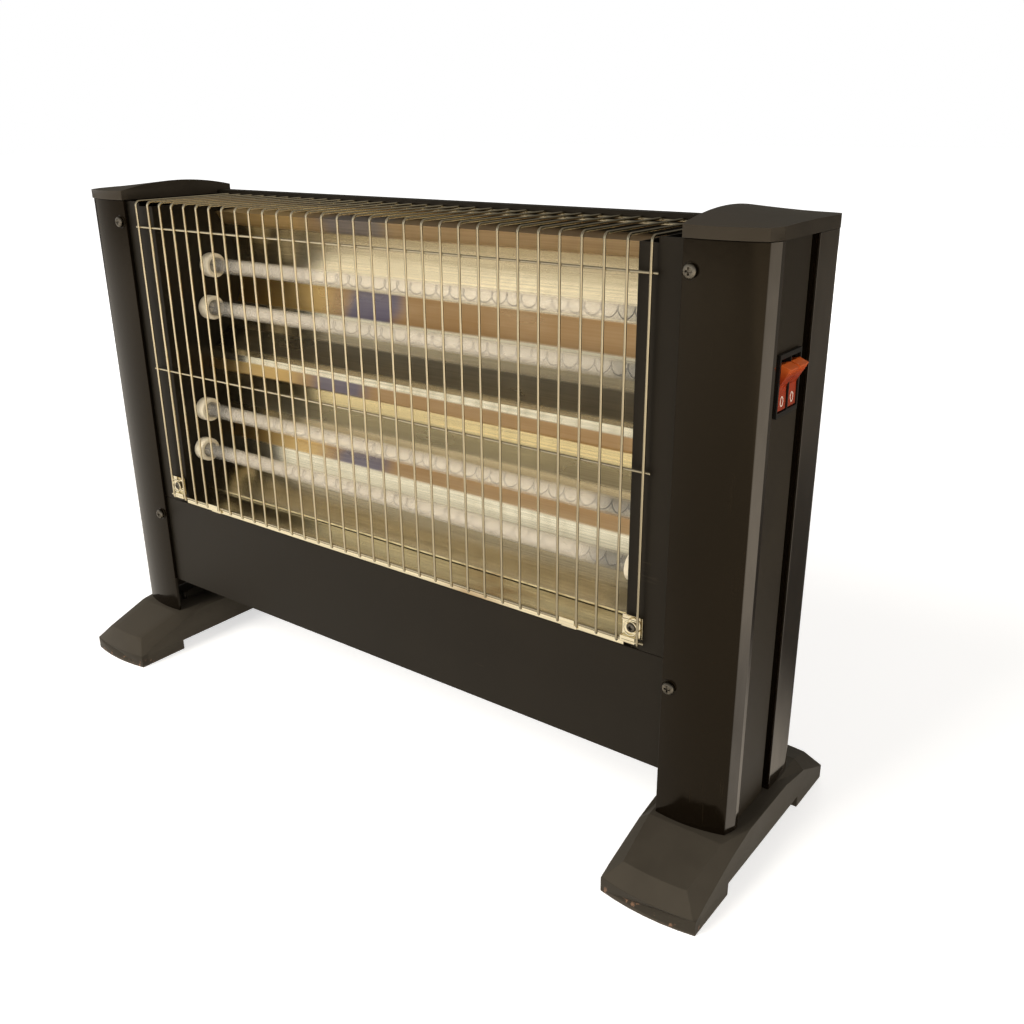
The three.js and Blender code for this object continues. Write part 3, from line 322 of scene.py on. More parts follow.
def twin(piece, name):
    """The same piece for the other end, mirrored."""
    other = copied(piece, name)
    activate(other)
    other.scale.x = -1
    bpy.ops.object.transform_apply(scale=True)
    whole(other, bpy.ops.mesh.flip_normals)
    return other


def refined(node, name, edge, segments=2, angle=30, smooth=35):
    """A copy of a frame solid with clean faces and rounded edges."""
    piece = bpy.data.objects.new(name, NODES[node].data.copy())
    bpy.context.scene.collection.objects.link(piece)
    named(piece, name)
    activate(piece)
    bpy.ops.mesh.customdata_custom_splitnormals_clear()
    edit(piece)
    bpy.ops.mesh.select_all(action="SELECT")
    bpy.ops.mesh.remove_doubles(threshold=mm(0.002))
    bpy.ops.mesh.dissolve_limited(angle_limit=math.radians(1))
    leave()
    return soften(piece, edge, segments, angle, smooth)


def joined(piece, *others):
    """Joins pieces into the first."""
    activate(piece, *others)
    bpy.ops.object.join()
    return piece


def cut(piece, cutter):
    """Takes one closed piece's shape out of another."""
    modify(piece, "BOOLEAN", operation="DIFFERENCE", solver="EXACT", object=cutter)
    bpy.data.objects.remove(cutter)
    return piece


def block(name, low, high):
    """A block between two corners, left in edit mode."""
    return begin(name, "cube", size=1, location=(low + high) / 2, scale=high - low)


def rod(name, sides, radius, length, place, turned=(0, math.pi / 2, 0)):
    """A round rod, along X or, when it isn't turned, along Z."""
    settings = {"vertices": sides, "radius": radius, "depth": length}
    piece = begin(name, "cylinder", location=place, rotation=turned, **settings)
    leave()
    return piece


def stood(piece, tilt, place):
    """Turns a piece about Y and moves it, inside its mesh."""
    piece.rotation_euler = (0, tilt, 0)
    piece.location = place
    activate(piece)
    bpy.ops.object.transform_apply(location=True, rotation=True)
    return piece


def middle_of(node):
    """The middle of a frame solid's box."""
    low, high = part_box(node)
    return (low + high) / 2


def set_out(piece, count, step):
    """Repeats a piece in a row, at a constant step."""
    return modify(
        piece,
        "ARRAY",
        count=count,
        use_relative_offset=False,
        use_constant_offset=True,
        constant_offset_displace=step,
    )


def settle(piece, finish, slot, *nodes, body="heater"):
    """Gives a piece its material and body, and hides the frame nodes it stands for; slot is unused."""
    piece.data.materials.clear()
    piece.data.materials.append(finish)
    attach(piece, body)
    if nodes:
        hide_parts(*nodes)
    return piece


def settle_pair(piece, name, finish, slot, node):
    """Settles a right-hand piece and its mirrored twin."""
    piece = named(piece, f"{name}_right")
    other = twin(piece, f"{name}_left")
    settle(piece, finish, slot, f"{node}_right")
    settle(other, finish, slot, f"{node}_left")


# ---------------------------------------------------------------- shader expressions


class Value:
    """A number in a material's nodes. Arithmetic on it adds Math nodes."""

    def __init__(self, finish, socket):
        self.finish, self.socket = finish, socket

    def math(self, operation, *values):
        return self.finish.node("Math", {"operation": operation}, *values)

    def __add__(self, other):
        return self.math("ADD", self, other)

    def __sub__(self, other):
        return self.math("SUBTRACT", self, other)

    def __rsub__(self, other):
        return self.math("SUBTRACT", other, self)

    def __mul__(self, other):
        return self.math("MULTIPLY", self, other)

    def __abs__(self):
        return self.math("ABSOLUTE", self)

    __radd__ = __add__
    __rmul__ = __mul__


class Nodes:
    """A node tree that grows through one method."""

    def __init__(self, tree):
        self.tree = tree

    def node(self, kind, settings, *values, output=0, **named_values):
        """Adds a node: its settings first, then the values or links of its sockets."""
        node = self.tree.nodes.new(f"ShaderNode{kind}")
        for key, value in settings.items():
            setattr(node, key, value)
        pairs = list(enumerate(values)) + list(named_values.items())
        for key, value in pairs:
            if value is not None:
                self.connect(node.inputs[key], value)
        return Value(self, node.outputs[output])

    def connect(self, socket, value):
        if isinstance(value, Value):
            self.tree.links.new(value.socket, socket)
        else:
            socket.default_value = value

    def parts(self, vector, name):
        return self.node("SeparateXYZ", {}, vector, output=name)

    def between(self, value, low, high, start=0.0, end=1.0):
        """A smooth step of a value between two limits."""
        settings = {"interpolation_type": "SMOOTHSTEP"}
        return self.node("MapRange", settings, value, low, high, start, end)

    def spread(self, value, low, high, start=0.0, end=1.0):
        """A value's range moved to another."""
        return self.node("MapRange", {}, value, low, high, start, end)

    def blend(self, share, first, second):
        """A colour between two."""
        pair = [one if isinstance(one, Value) else (*one[:3], 1.0) for one in (first, second)]
        spare = [None] * 5
        return self.node("Mix", {"data_type": "RGBA"}, share, *spare, *pair, output=2)

    def ray(self, kind):
        """1 for the rays of one kind, such as the camera's."""
        return self.node("LightPath", {}, output=f"Is {kind} Ray")

    def straight(self):
        """1 for the camera's rays and those through glass."""
        pair = self.ray("Camera"), self.ray("Transmission")
        return self.node("Math", {"operation": "MAXIMUM"}, *pair)


class Finish(Nodes):
    """A material, built from nodes."""

    def __init__(self, name):
        self.material = bpy.data.materials.new(name)
        self.material.use_nodes = True
        super().__init__(self.material.node_tree)
        self.shader = self.tree.nodes["Principled BSDF"]
        self.place = self.node("TexCoord", {}, output="Object")

    def set(self, **values):
        """Sets the shader's sockets; underscores stand for spaces."""
        for key, value in values.items():
            self.connect(self.shader.inputs[key.replace("_", " ")], value)

    def stretched(self, across):
        """Object coordinates in metres, each multiplied."""
        return self.node("VectorMath", {"operation": "MULTIPLY"}, self.place, Vector(across))

    def axis(self, name):
        return self.parts(self.place, name)

    def noise(self, scale, detail=3.0, roughness=0.55, across=(1, 1, 1)):
        """Noise from 0 to 1, about `scale` features in a metre."""
        place = self.stretched([scale * share for share in across])
        settings = {"Detail": detail, "Roughness": roughness, "Scale": 1.0}
        return self.node("TexNoise", {}, output="Fac", Vector=place, **settings)

    def cells(self, scale):
        """Distance to the nearest of scattered points."""
        place = self.stretched([scale] * 3)
        return self.node("TexVoronoi", {}, output="Distance", Vector=place, Scale=1.0)

    def uneven(self, where, start, end):
        """A value that runs from one to another with a noise."""
        return self.spread(where, 0.3, 0.7, start, end)

    def mottled(self, where, base, first, second, low=0.3, high=0.7):
        """A base colour at two strengths, as a noise goes from low to high."""
        return self.blend(self.between(where, low, high), shade(base, first), shade(base, second))

    def bump(self, height, depth, strength=1.0, under=None):
        """A bump whose full height is a depth in millimetres."""
        values = {"Strength": strength, "Distance": mm(depth), "Height": height}
        if under is not None:
            values["Normal"] = under
        return self.node("Bump", {}, **values)


def shade(base, factor):
    """A colour made lighter or darker."""
    return tuple(min(1.0, channel * factor) for channel in base)


def scratches(finish, scale, across, low=0.70, high=0.76):
    """Fine marks along one direction, where stretched noise peaks."""
    fine = finish.noise(scale, 2.0, 0.5, across)
    where = finish.noise(scale * 0.02, 2.0)
    return finish.between(fine, low, high) * finish.between(where, 0.5, 0.62)


def plastic(name, base, rough, mottle, grain, grain_depth):
    """A moulded plastic: cloudy colour, uneven gloss, a fine grain and a few scuffs."""
    finish = Finish(name)
    cloud = finish.noise(18, 4.0)
    fine = finish.noise(grain, 2.0)
    scuff = scratches(finish, 420, (1, 0.08, 0.3))
    shaded = finish.mottled(cloud, base, 1 - mottle, 1 + mottle)
    shaded = finish.blend(scuff * 0.35, shaded, shade(base, 3.5))
    gloss = finish.spread(cloud, 0.25, 0.75, rough * 0.8, rough * 1.25) + scuff * 0.15
    normal = finish.bump(fine, grain_depth)
    finish.set(Base_Color=shaded, Roughness=gloss, Normal=normal)
    finish.set(Specular_IOR_Level=0.22, Specular_Tint=(1.0, 0.88, 0.70, 1.0))
    return finish


def gloss_shell():
    base = tuple(colours().shell)
    finish = Finish("shell_gloss")
    cloud = finish.noise(9, 3.0, 0.5, (1, 1, 0.35))
    swirl = finish.noise(60, 3.0, 0.6, (1, 1, 0.4))
    peel = finish.noise(260, 1.0, 0.4)
    wave = finish.noise(11, 1.0, 0.4, (1, 1, 0.22))
    dust = scratches(finish, 600, (1, 1, 0.05), 0.68, 0.72)
    shaded = finish.mottled(cloud, base, 0.7, 1.5, 0.35, 0.65)
    shaded = finish.blend(dust * 0.25, shaded, shade(base, 5))
    gloss = finish.uneven(swirl, 0.07, 0.15) + dust * 0.12
    normal = finish.bump(wave, 0.9, 1.0)
    normal = finish.bump(peel, 0.02, 1.0, under=normal)
    finish.set(Base_Color=shaded, Roughness=gloss, Normal=normal)
    finish.set(Specular_IOR_Level=0.18, Specular_Tint=(1.0, 0.82, 0.58, 1.0))
    corner = finish.between(abs(finish.axis("X")), mm(255.9), mm(256.3))
    finish.set(Coat_Weight=corner * finish.uneven(swirl, 0.7, 1.0))
    finish.set(Coat_Roughness=0.08, Coat_Tint=(1.0, 0.88, 0.72, 1.0))
    return finish.material


def satin_paint(name, base):
    """Painted or powder-coated sheet: a fine peel, soft clouds and faint rubbed lines."""
    finish = Finish(name)
    cloud = finish.noise(14, 3.0)
    peel = finish.noise(900, 2.0)
    rubbed = scratches(finish, 500, (0.10, 1, 1), 0.69, 0.74)
    shaded = finish.mottled(cloud, base, 0.85, 1.2)
    shaded = finish.blend(rubbed * 0.4, shaded, shade(base, 4))
    gloss = finish.uneven(cloud, 0.42, 0.5) + rubbed * 0.1
    finish.set(Base_Color=shaded, Roughness=gloss, Normal=finish.bump(peel, 0.03))
    finish.set(Specular_IOR_Level=0.22, Specular_Tint=(1.0, 0.88, 0.72, 1.0))
    return finish.material


def foot_wear_and_painted_light():
    base = tuple(colours().foot)
    finish = plastic("foot_plastic", base, 0.5, 0.15, 1400, 0.03)
    height, fore = finish.axis("Z"), finish.axis("Y")
    low = finish.between(height, mm(7), mm(0.5))
    front = finish.between(fore, mm(-70), mm(-82))
    spots = finish.between(finish.noise(230, 3.0), 0.60, 0.66)
    rub = low * front * spots
    previous = finish.shader.inputs["Base Color"].links[0].from_socket
    # painted highlight along the bottom rim, where a lip would catch the light
    rim = finish.between(height, mm(1.8), mm(0.9)) * 0.35
    # painted shade in the crease above the skirt, on the front end
    band = finish.between(height, mm(9.8), mm(9.2)) * finish.between(fore, mm(-78), mm(-81))
    wear_and_painted_light = finish.blend(band * 0.5, Value(finish, previous), shade(base, 0.4))
    wear_and_painted_light = finish.blend(rim, wear_and_painted_light, (0.12, 0.10, 0.08))
    wear_and_painted_light = finish.blend(rub * 0.6, wear_and_painted_light, (0.38, 0.21, 0.13))
    finish.set(Base_Color=wear_and_painted_light)
    return finish.material


LEAN = math.radians(10)
LEAN_PLACE = (-7.4, 229.7)  # the middle of the nose: y, z


def leaned(up, back, x=0.0):
    """A point of the leaning mirror, up along it and back square to it, in millimetres."""
    sine, cosine = math.sin(LEAN), math.cos(LEAN)
    y = LEAN_PLACE[0] + up * sine + back * cosine
    z = LEAN_PLACE[1] + up * cosine - back * sine
    return mm(x, y, z)


def mirror(name, banded):
    """Polished aluminium with rolled streaks, dull clouds and painted reflections, banded or in a
    patch.
    """
    base = tuple(colours().mirror)
    finish = Finish(name)
    streak = finish.noise(900, 3.0, 0.6, (0.01, 1, 1))
    cloud = finish.noise(22, 4.0, 0.6, (0.4, 1, 1))
    ripple = finish.noise(13, 2.0, 0.5, (0.6, 1, 1))
    shaded = finish.mottled(streak, base, 0.86, 1.1)
    gloss = finish.uneven(cloud, 0.13, 0.24)
    if banded:
        shaded, dull = painted_reflection_bands(finish, shaded, cloud)
        gloss = gloss + dull * 0.14 + finish.between(finish.axis("Z"), mm(322), mm(326)) * 0.2
    else:
        # painted amber reflection, in a patch on the tray, the clips and the tabs
        patch = finish.between(finish.axis("X"), mm(40), mm(90)) * finish.between(cloud, 0.4, 0.6)
        shaded = finish.blend(patch * 0.7, shaded, tuple(colours().amber))
    normal = finish.bump(ripple, 0.5, 0.8)
    normal = finish.bump(streak, 0.008, 0.6, under=normal)
    finish.set(Base_Color=shaded, Metallic=1.0, Roughness=gloss, Normal=normal)
    return finish.material


def painted_reflection_bands(finish, shaded, cloud):
    """The sheet's colour with painted reflections in bands, and how much of it is painted.

    The bands are amber and dark, with gold at the left end and blue across the middle.
    """
    along = (finish.axis("Z") - mm(LEAN_PLACE[1])) * math.cos(LEAN)
    along = along + (finish.axis("Y") - mm(LEAN_PLACE[0])) * math.sin(LEAN)
    along = along + (finish.noise(12, 2.0, 0.5, (0.35, 1, 1)) - 0.5) * mm(3)
    side = finish.axis("X") + (cloud - 0.5) * mm(40)
    left = finish.between(side, mm(-88), mm(-112))
    middle = finish.between(side, mm(-88), mm(-70)) * finish.between(side, mm(-20), mm(-38))
    amber = finish.blend(left, tuple(colours().amber), tuple(colours().gold))
    amber = finish.blend(middle * 0.9, amber, tuple(colours().blue))
    dark_reflection = tuple(colours().dark_reflection)
    dull = 0.0
    # each band paints a reflection of the room across the sheet
    for low, high, soft, strength, tint in MIRROR_BANDS:
        rise = finish.between(along, mm(low - soft), mm(low + soft))
        fall = finish.between(along, mm(high + soft), mm(high - soft))
        share = rise * fall * finish.uneven(cloud, strength * 0.85, strength)
        shaded = finish.blend(share, shaded, amber if tint == "amber" else dark_reflection)
        dull = share + dull
    return shaded, dull


# each painted reflection band of the mirror: its lowest and highest place up the lean and its
# softness, in millimetres, its strength and its tint
MIRROR_BANDS = [
    (96, 130, 1.0, 0.75, "amber"),
    (42, 61, 1.0, 0.95, "amber"),
    (9, 24, 1.2, 0.9, "dark_reflection"),
    (24, 30, 2.0, 0.3, "dark_reflection"),
    (-7.5, 1.5, 0.6, 0.9, "amber"),
    (-33, -17, 2.0, 0.7, "dark_reflection"),
    (-59, -48, 1.0, 0.9, "amber"),
]


def nickel_wire():
    base = tuple(colours().wire)
    finish = Finish("guard_wire")
    drawn = finish.noise(1500, 2.0, 0.6, (1, 1, 0.02))
    cloud = finish.noise(25, 3.0)
    # painted light: the wires lighter towards the left end, where they are lit, and darker towards the
    # right
    painted_light_across = finish.between(finish.axis("X") + (cloud - 0.5) * mm(120), mm(-120), mm(230))
    shaded = finish.blend(painted_light_across, shade(base, 1.1), shade(base, 0.62))
    shaded = finish.blend(finish.between(drawn, 0.35, 0.65) * 0.3, shaded, shade(base, 0.6))
    gloss = finish.uneven(drawn, 0.14, 0.24)
    finish.set(Base_Color=shaded, Metallic=1.0, Roughness=gloss, Normal=finish.bump(drawn, 0.02))
    return finish.material


def milky_quartz():
    base = tuple(colours().quartz)
    finish = Finish("quartz")
    cloud = finish.noise(35, 4.0, 0.6, (0.3, 1, 1))
    streak = finish.noise(500, 2.0, 0.6, (0.02, 1, 1))
    # painted dark reflection over the tubes' ends
    end = finish.between(abs(finish.axis("X")), mm(148), mm(168))
    shaded = finish.mottled(cloud, base, 0.94, 1.06)
    shaded = finish.blend(end, shaded, (0.34, 0.32, 0.28))
    cover = finish.uneven(cloud, 0.26, 0.34)
    gloss = finish.uneven(streak, 0.14, 0.24)
    finish.set(Base_Color=shaded, Roughness=gloss, Alpha=cover, Normal=finish.bump(streak, 0.02))
    finish.set(IOR=1.46)
    return finish.material


def coil_alloy():
    base = tuple(colours().coil)
    finish = Finish("coil_wire")
    scale_marks = finish.noise(900, 3.0)
    shaded = finish.mottled(scale_marks, base, 0.7, 1.3, 0.35)
    gloss = finish.uneven(scale_marks, 0.4, 0.6)
    finish.set(Base_Color=shaded, Metallic=1.0, Roughness=gloss, Normal=finish.bump(scale_marks, 0.03))
    return finish.material


def bare_ceramic():
    base = tuple(colours().ceramic)
    finish = Finish("ceramic_white")
    cloud = finish.noise(120, 4.0)
    pores = finish.cells(1300)
    pits = finish.between(pores, 0.16, 0.06)
    shaded = finish.mottled(cloud, base, 0.93, 1.06)
    shaded = finish.blend(pits * 0.4, shaded, shade(base, 0.6))
    gloss = finish.uneven(cloud, 0.5, 0.65)
    normal = finish.bump(1 - pits, 0.05, 0.7, under=finish.bump(cloud, 0.08))
    finish.set(Base_Color=shaded, Roughness=gloss, Normal=normal)
    return finish.material


def rocker_red():
    base = tuple(colours().rocker)
    finish = Finish("rocker_red")
    cloud = finish.noise(160, 3.0)
    height = finish.axis("Z") + (cloud - 0.5) * mm(3)
    # painted glow on the rockers' upper parts and painted shade on their lower parts
    up = finish.between(height, mm(276), mm(286))
    down = finish.between(height, mm(274), mm(262))
    shaded = finish.blend(up, base, (0.72, 0.14, 0.025))
    shaded = finish.blend(down * 0.45, shaded, (0.20, 0.035, 0.018))
    gloss = finish.uneven(cloud, 0.18, 0.28)
    finish.set(Base_Color=shaded, Roughness=gloss, Normal=finish.bump(finish.noise(700), 0.01))
    finish.set(Specular_IOR_Level=0.25, Specular_Tint=(1.0, 0.75, 0.6, 1.0))
    return finish.material


def zinc():
    base = tuple(colours().zinc)
    finish = Finish("screw_steel")
    cloud = finish.noise(260, 4.0)
    lathe_marks = finish.noise(2500, 2.0)
    shaded = finish.mottled(cloud, base, 0.55, 1.2)
    gloss = finish.uneven(cloud, 0.28, 0.45)
    normal = finish.bump(lathe_marks, 0.02)
    finish.set(Base_Color=shaded, Metallic=1.0, Roughness=gloss, Normal=normal)
    return finish.material


def mark_paint():
    base = tuple(colours().mark)
    finish = Finish("mark_paint")
    wear = finish.noise(900, 3.0)
    shaded = finish.mottled(wear, base, 1, 0.7, 0.4)
    finish.set(Base_Color=shaded, Roughness=finish.uneven(wear, 0.4, 0.55))
    return finish.material


FINISHES = {}


def moulded(name):
    """The plain plastics: each with its colour, roughness, mottle, grain and grain depth."""
    kinds = {
        "cap_plastic": (tuple(colours().cap), 0.36, 0.2, 1100, 0.025),
        "switch_black": (tuple(colours().bezel), 0.3, 0.2, 1200, 0.02),
        "bush_rubber": ((0.012, 0.012, 0.012), 0.6, 0.2, 900, 0.04),
        "block_plastic": ((0.70, 0.68, 0.62), 0.45, 0.05, 1000, 0.02),
    }
    return plastic(name, *kinds[name]).material


def finish_of(slot):
    """The finish of a slot, made when it is first asked for."""
    makers = {
        "shell_gloss": gloss_shell,
        "panel_satin": lambda: satin_paint(slot, tuple(colours().panel)),
        "foot_plastic": foot_wear_and_painted_light,
        "case_steel": lambda: satin_paint(slot, tuple(colours().case)),
        "mirror_sheet": lambda: mirror(slot, True),
        "bright_sheet": lambda: mirror(slot, False),
        "guard_wire": nickel_wire,
        "quartz": milky_quartz,
        "coil_wire": coil_alloy,
        "ceramic_white": bare_ceramic,
        "rocker_red": rocker_red,
        "screw_steel": zinc,
        "mark_paint": mark_paint,
    }
    if slot not in FINISHES:
        FINISHES[slot] = makers[slot]() if slot in makers else moulded(slot)
    return FINISHES[slot]


# ---------------------------------------------------------------- pieces


class HEATER_OT_feet(bpy.types.Operator):
    """Makes the two moulded feet"""

    bl_idname = "heater.feet"
    bl_label = "Feet"

    def execute(self, context):
        foot = refined("foot_right", "moulded_foot_right", sizes().foot_edge, 3, 12, 22)
        settle_pair(foot, "moulded_foot", finish_of("foot_plastic"), "foot_plastic", "foot")
        return {"FINISHED"}


# the right tower's outline, in millimetres: its inner and outer sides, where its shells end beside
# the side panel, and how far its front and rear faces bow out
TOWER_INNER, TOWER_OUTER, GROOVE_SIDE, BOW = 215.5, 258.5, 252, 2.6


def screw_spot(name, place, direction):
    """The low round spot that a screw's head sits on."""
    profile = [(-1.6, 0), (-1.6, 4.6), (-0.25, 4.4), (0, 4.1), (0, 0)]
    return lathe(name, profile, place, 32, direction)


class HEATER_OT_shells(bpy.types.Operator):
    """Makes the glossy front and rear shells of the two towers"""

    bl_idname = "heater.shells"
    bl_label = "Tower shells"

    def execute(self, context):
        low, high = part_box("tower_front_shell_right")
        bottom, sweep = low.z, Z * (high.z - low.z)
        wall, edge = sizes().shell_wall, sizes().shell_edge

        def at(x, y):
            return Vector((mm(x), mm(y), bottom))

        moves = [
            Arc(at(256, -38), -Y * mm(BOW), 32),
            at(TOWER_OUTER, -30.5),
            at(TOWER_OUTER, -27),
            at(GROOVE_SIDE, -27),
        ]
        front = sheet("front_shell_right", at(TOWER_INNER, -41.5), moves, sweep, wall, Y)
        front = soften(front, edge, 2, 16, 14)
        spots = []
        for row in ("upper", "lower"):
            centre = middle_of(f"front_screw_{row}_right")
            seat = Vector((centre.x, mm(-42.5), centre.z))
            spots.append(screw_spot(f"spot_{row}", seat, -Y))
        joined(front, *spots)
        finish = finish_of("shell_gloss")
        settle_pair(front, "front_shell", finish, "shell_gloss", "tower_front_shell")

        moves = [
            at(TOWER_OUTER, 14),
            at(TOWER_OUTER, 36),
            Arc(at(254.5, 46), mm(10, 4, 0).normalized() * mm(0.93), 10),
            Arc(at(TOWER_INNER, 49.5), Y * mm(BOW), 32),
        ]
        rear = sheet("rear_shell_right", at(GROOVE_SIDE, 14), moves, sweep, wall, Y)
        rear = soften(rear, edge, 2, 25, 30)
        centre = middle_of("rear_screw_right")
        joined(rear, screw_spot("spot_rear", Vector((centre.x, mm(50.5), centre.z)), Y))
        settle_pair(rear, "rear_shell", finish, "shell_gloss", "tower_rear_shell")
        return {"FINISHED"}


class HEATER_OT_side_panels(bpy.types.Operator):
    """Makes the satin side panels between the shells"""

    bl_idname = "heater.side_panels"
    bl_label = "Side panels"

    def execute(self, context):
        finish = finish_of("panel_satin")
        for side in ("right", "left"):
            panel = refined(f"side_panel_{side}", f"satin_panel_{side}", sizes().sheet_edge)
            settle(panel, finish, "panel_satin", f"side_panel_{side}")
        return {"FINISHED"}


# the right cap, in millimetres: its sides, the edge under its crown and its skirt's height
CAP_INNER, CAP_OUTER, CAP_EDGE, CAP_SKIRT = 215.2, 259.5, 348, 5.5


class HEATER_OT_caps(bpy.types.Operator):
    """Makes the crowned caps of the two towers"""

    bl_idname = "heater.caps"
    bl_label = "Tower caps"

    def execute(self, context):
        low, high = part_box("tower_cap_right")
        skirt, rim = mm(CAP_SKIRT), mm(CAP_EDGE)
        crown = high.z - rim
        half, middle = mm(49.1), mm(4)

        def at(x, y):
            return Vector((mm(x), mm(y), rim - skirt))

        moves = [
            Arc(at(256, -39), -Y * mm(BOW), 24),
            at(CAP_OUTER, -30.5),
            at(CAP_OUTER, 36),
            at(255.5, 47),
            Arc(at(CAP_INNER, 50.5), Y * mm(BOW), 24),
            at(CAP_INNER, -42.5),
        ]
        cap = draw("cap_right", at(CAP_INNER, -42.5), moves)
        bpy.ops.mesh.edge_face_add()
        push(Z * skirt)
        leave()
        outward(cap)
        edit(cap)

        def on_top(face):
            return face.normal.z > 0.5 and face.calc_center_median().z > rim - mm(0.1)

        for step in range(1, 30):
            pick(cap, "FACE", on_top)
            place = middle - half + 2 * half * step / 30
            bpy.ops.mesh.bisect(plane_co=(0, place, 0), plane_no=Y)
        for step in range(1, 6):
            pick(cap, "FACE", on_top)
            bpy.ops.mesh.bisect(plane_co=(low.x + (high.x - low.x) * step / 6, 0, 0), plane_no=X)
        mesh = bmesh.from_edit_mesh(cap.data)
        for vertex in mesh.verts:
            if vertex.co.z > rim - mm(0.1):
                across = min(1.0, abs(vertex.co.y - middle) / half)
                out = min(1.0, max(0.0, (vertex.co.x - mm(215.5)) / mm(43)))
                vertex.co.z = rim + crown * (1 - across * across) * (1 - 0.8 * out)
        bmesh.update_edit_mesh(cap.data)
        pick(cap, "FACE", lambda face: face.normal.z < -0.9)
        bpy.ops.mesh.inset(thickness=sizes().shell_wall)
        push(Z * (skirt - sizes().shell_wall))
        leave()
        outward(cap)
        cap = soften(cap, sizes().cap_edge, 4, 32, 40)
        settle_pair(cap, "cap", finish_of("cap_plastic"), "cap_plastic", "tower_cap")
        return {"FINISHED"}


class HEATER_OT_case(bpy.types.Operator):
    """Makes the folded sheets of the case"""

    bl_idname = "heater.case"
    bl_label = "Case sheets"

    def execute(self, context):
        finish = finish_of("case_steel")
        edge = sizes().sheet_edge
        for node, name in (("front_panel", "lower_front_sheet"), ("rear_panel", "rear_sheet")):
            settle(refined(node, name, edge), finish, "case_steel", node)
        for side in ("right", "left"):
            piece = refined(f"end_frame_{side}", f"end_sheet_{side}", edge)
            settle(piece, finish, "case_steel", f"end_frame_{side}")
        return {"FINISHED"}


class HEATER_OT_louvres(bpy.types.Operator):
    """Makes the pressed hoods over the rear panel's slots"""

    bl_idname = "heater.louvres"
    bl_label = "Louvres"

    def execute(self, context):
        depth = sizes().louvre_depth
        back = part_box("rear_panel")[1].y
        first = Vector((mm(-168), back, mm(267)))
        low, high = first - mm(16, 0.6, 3.4), first + Vector((mm(16), depth, mm(3.8)))
        hood = block("louvre_hoods", low, high)
        pick(hood, "VERT", lambda vertex: vertex.co.y > back + depth / 2 and vertex.co.z > first.z)
        bpy.ops.transform.translate(value=(0, mm(-1.7), 0))
        pick(hood, "FACE", lambda face: face.normal.z < -0.9)
        bpy.ops.mesh.inset(thickness=mm(0.6))
        push(Z * mm(4.2))
        leave()
        outward(hood)
        soften(hood, mm(0.5), 2)
        set_out(hood, 9, (mm(42), 0, 0))
        set_out(hood, 2, (0, 0, mm(16)))
        settle(hood, finish_of("case_steel"), "case_steel")
        return {"FINISHED"}


# the mirror, in millimetres: the lips of each trough up the lean, how far back a trough's floor
# lies and how deep it is, and the rear edge of the deck
TROUGHS = ((104.78, 6.2), (-6.2, -96.38))
TROUGH_FLOOR, TROUGH_DEPTH = 29, 25
DECK_EDGE = (36.5, 333.7)
# the tray's section from its rear edge to the front one: y, z
TRAY_PATH = ((-20.7, 130.2), (-20.7, 132.4), (-38.9, 128), (-38.9, 125.3), (-30.9, 125.3))


def trough(top, bottom, steps=40):
    """Points down one trough of the mirror, from its upper lip to its lower one."""
    middle, half = (top + bottom) / 2, (top - bottom) / 2
    points = []
    for step in range(steps + 1):
        up = top + (bottom - top) * step / steps
        points.append((up, TROUGH_FLOOR - TROUGH_DEPTH * ((up - middle) / half) ** 2))
    return points


class HEATER_OT_mirror(bpy.types.Operator):
    """Makes the polished sheet with its two troughs, and the tray below it"""

    bl_idname = "heater.mirror"
    bl_label = "Mirror and tray"

    def execute(self, context):
        wall = sizes().mirror_wall
        low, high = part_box("reflector")
        end = low.x
        sweep = X * (high.x - low.x)
        line = [leaned(up, back) for lips in TROUGHS for up, back in trough(*lips)]
        lip = line[-1] + mm(0, 0.3, -3.4)
        points = [mm(0, *DECK_EDGE), *line, lip]
        for point in points:
            point.x = end
        mirror_piece = sheet("mirror_sheet_back", points[0], points[1:], sweep, wall, -Z)
        mirror_piece = soften(mirror_piece, 0, smooth=28)
        settle(mirror_piece, finish_of("mirror_sheet"), "mirror_sheet", "reflector")

        points = [Vector((end, mm(y), mm(z))) for y, z in TRAY_PATH]
        tray = sheet("tray_sheet", points[0], points[1:], sweep, wall, -Y)
        tray = soften(tray, mm(0.3), 2)
        settle(tray, finish_of("bright_sheet"), "mirror_sheet", "guard_tray")
        return {"FINISHED"}


def tube_centre(number):
    return middle_of(f"quartz_tube_{number}")


class HEATER_OT_tubes(bpy.types.Operator):
    """Makes the four quartz tubes"""

    bl_idname = "heater.tubes"
    bl_label = "Quartz tubes"

    def execute(self, context):
        low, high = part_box("quartz_tube_1")
        radius, half = (high.z - low.z) / 2, high.x * 1000
        outer, inner = radius * 1000, (radius - sizes().tube_wall) * 1000
        profile = [(-half, inner), (-half, outer - 0.3), (-half + 0.3, outer)]
        profile += [(half - 0.3, outer), (half, outer - 0.3), (half, inner)]
        first = tube_centre(1)
        tube = lathe("tube_glass_1", profile, Vector((0, first.y, first.z)), 40)
        soften(tube, 0)
        others = [
            copied(tube, f"tube_glass_{number}", tube_centre(number) - first) for number in (2, 3, 4)
        ]
        for number, piece in enumerate([tube, *others], 1):
            settle(piece, finish_of("quartz"), "quartz", f"quartz_tube_{number}")
        return {"FINISHED"}


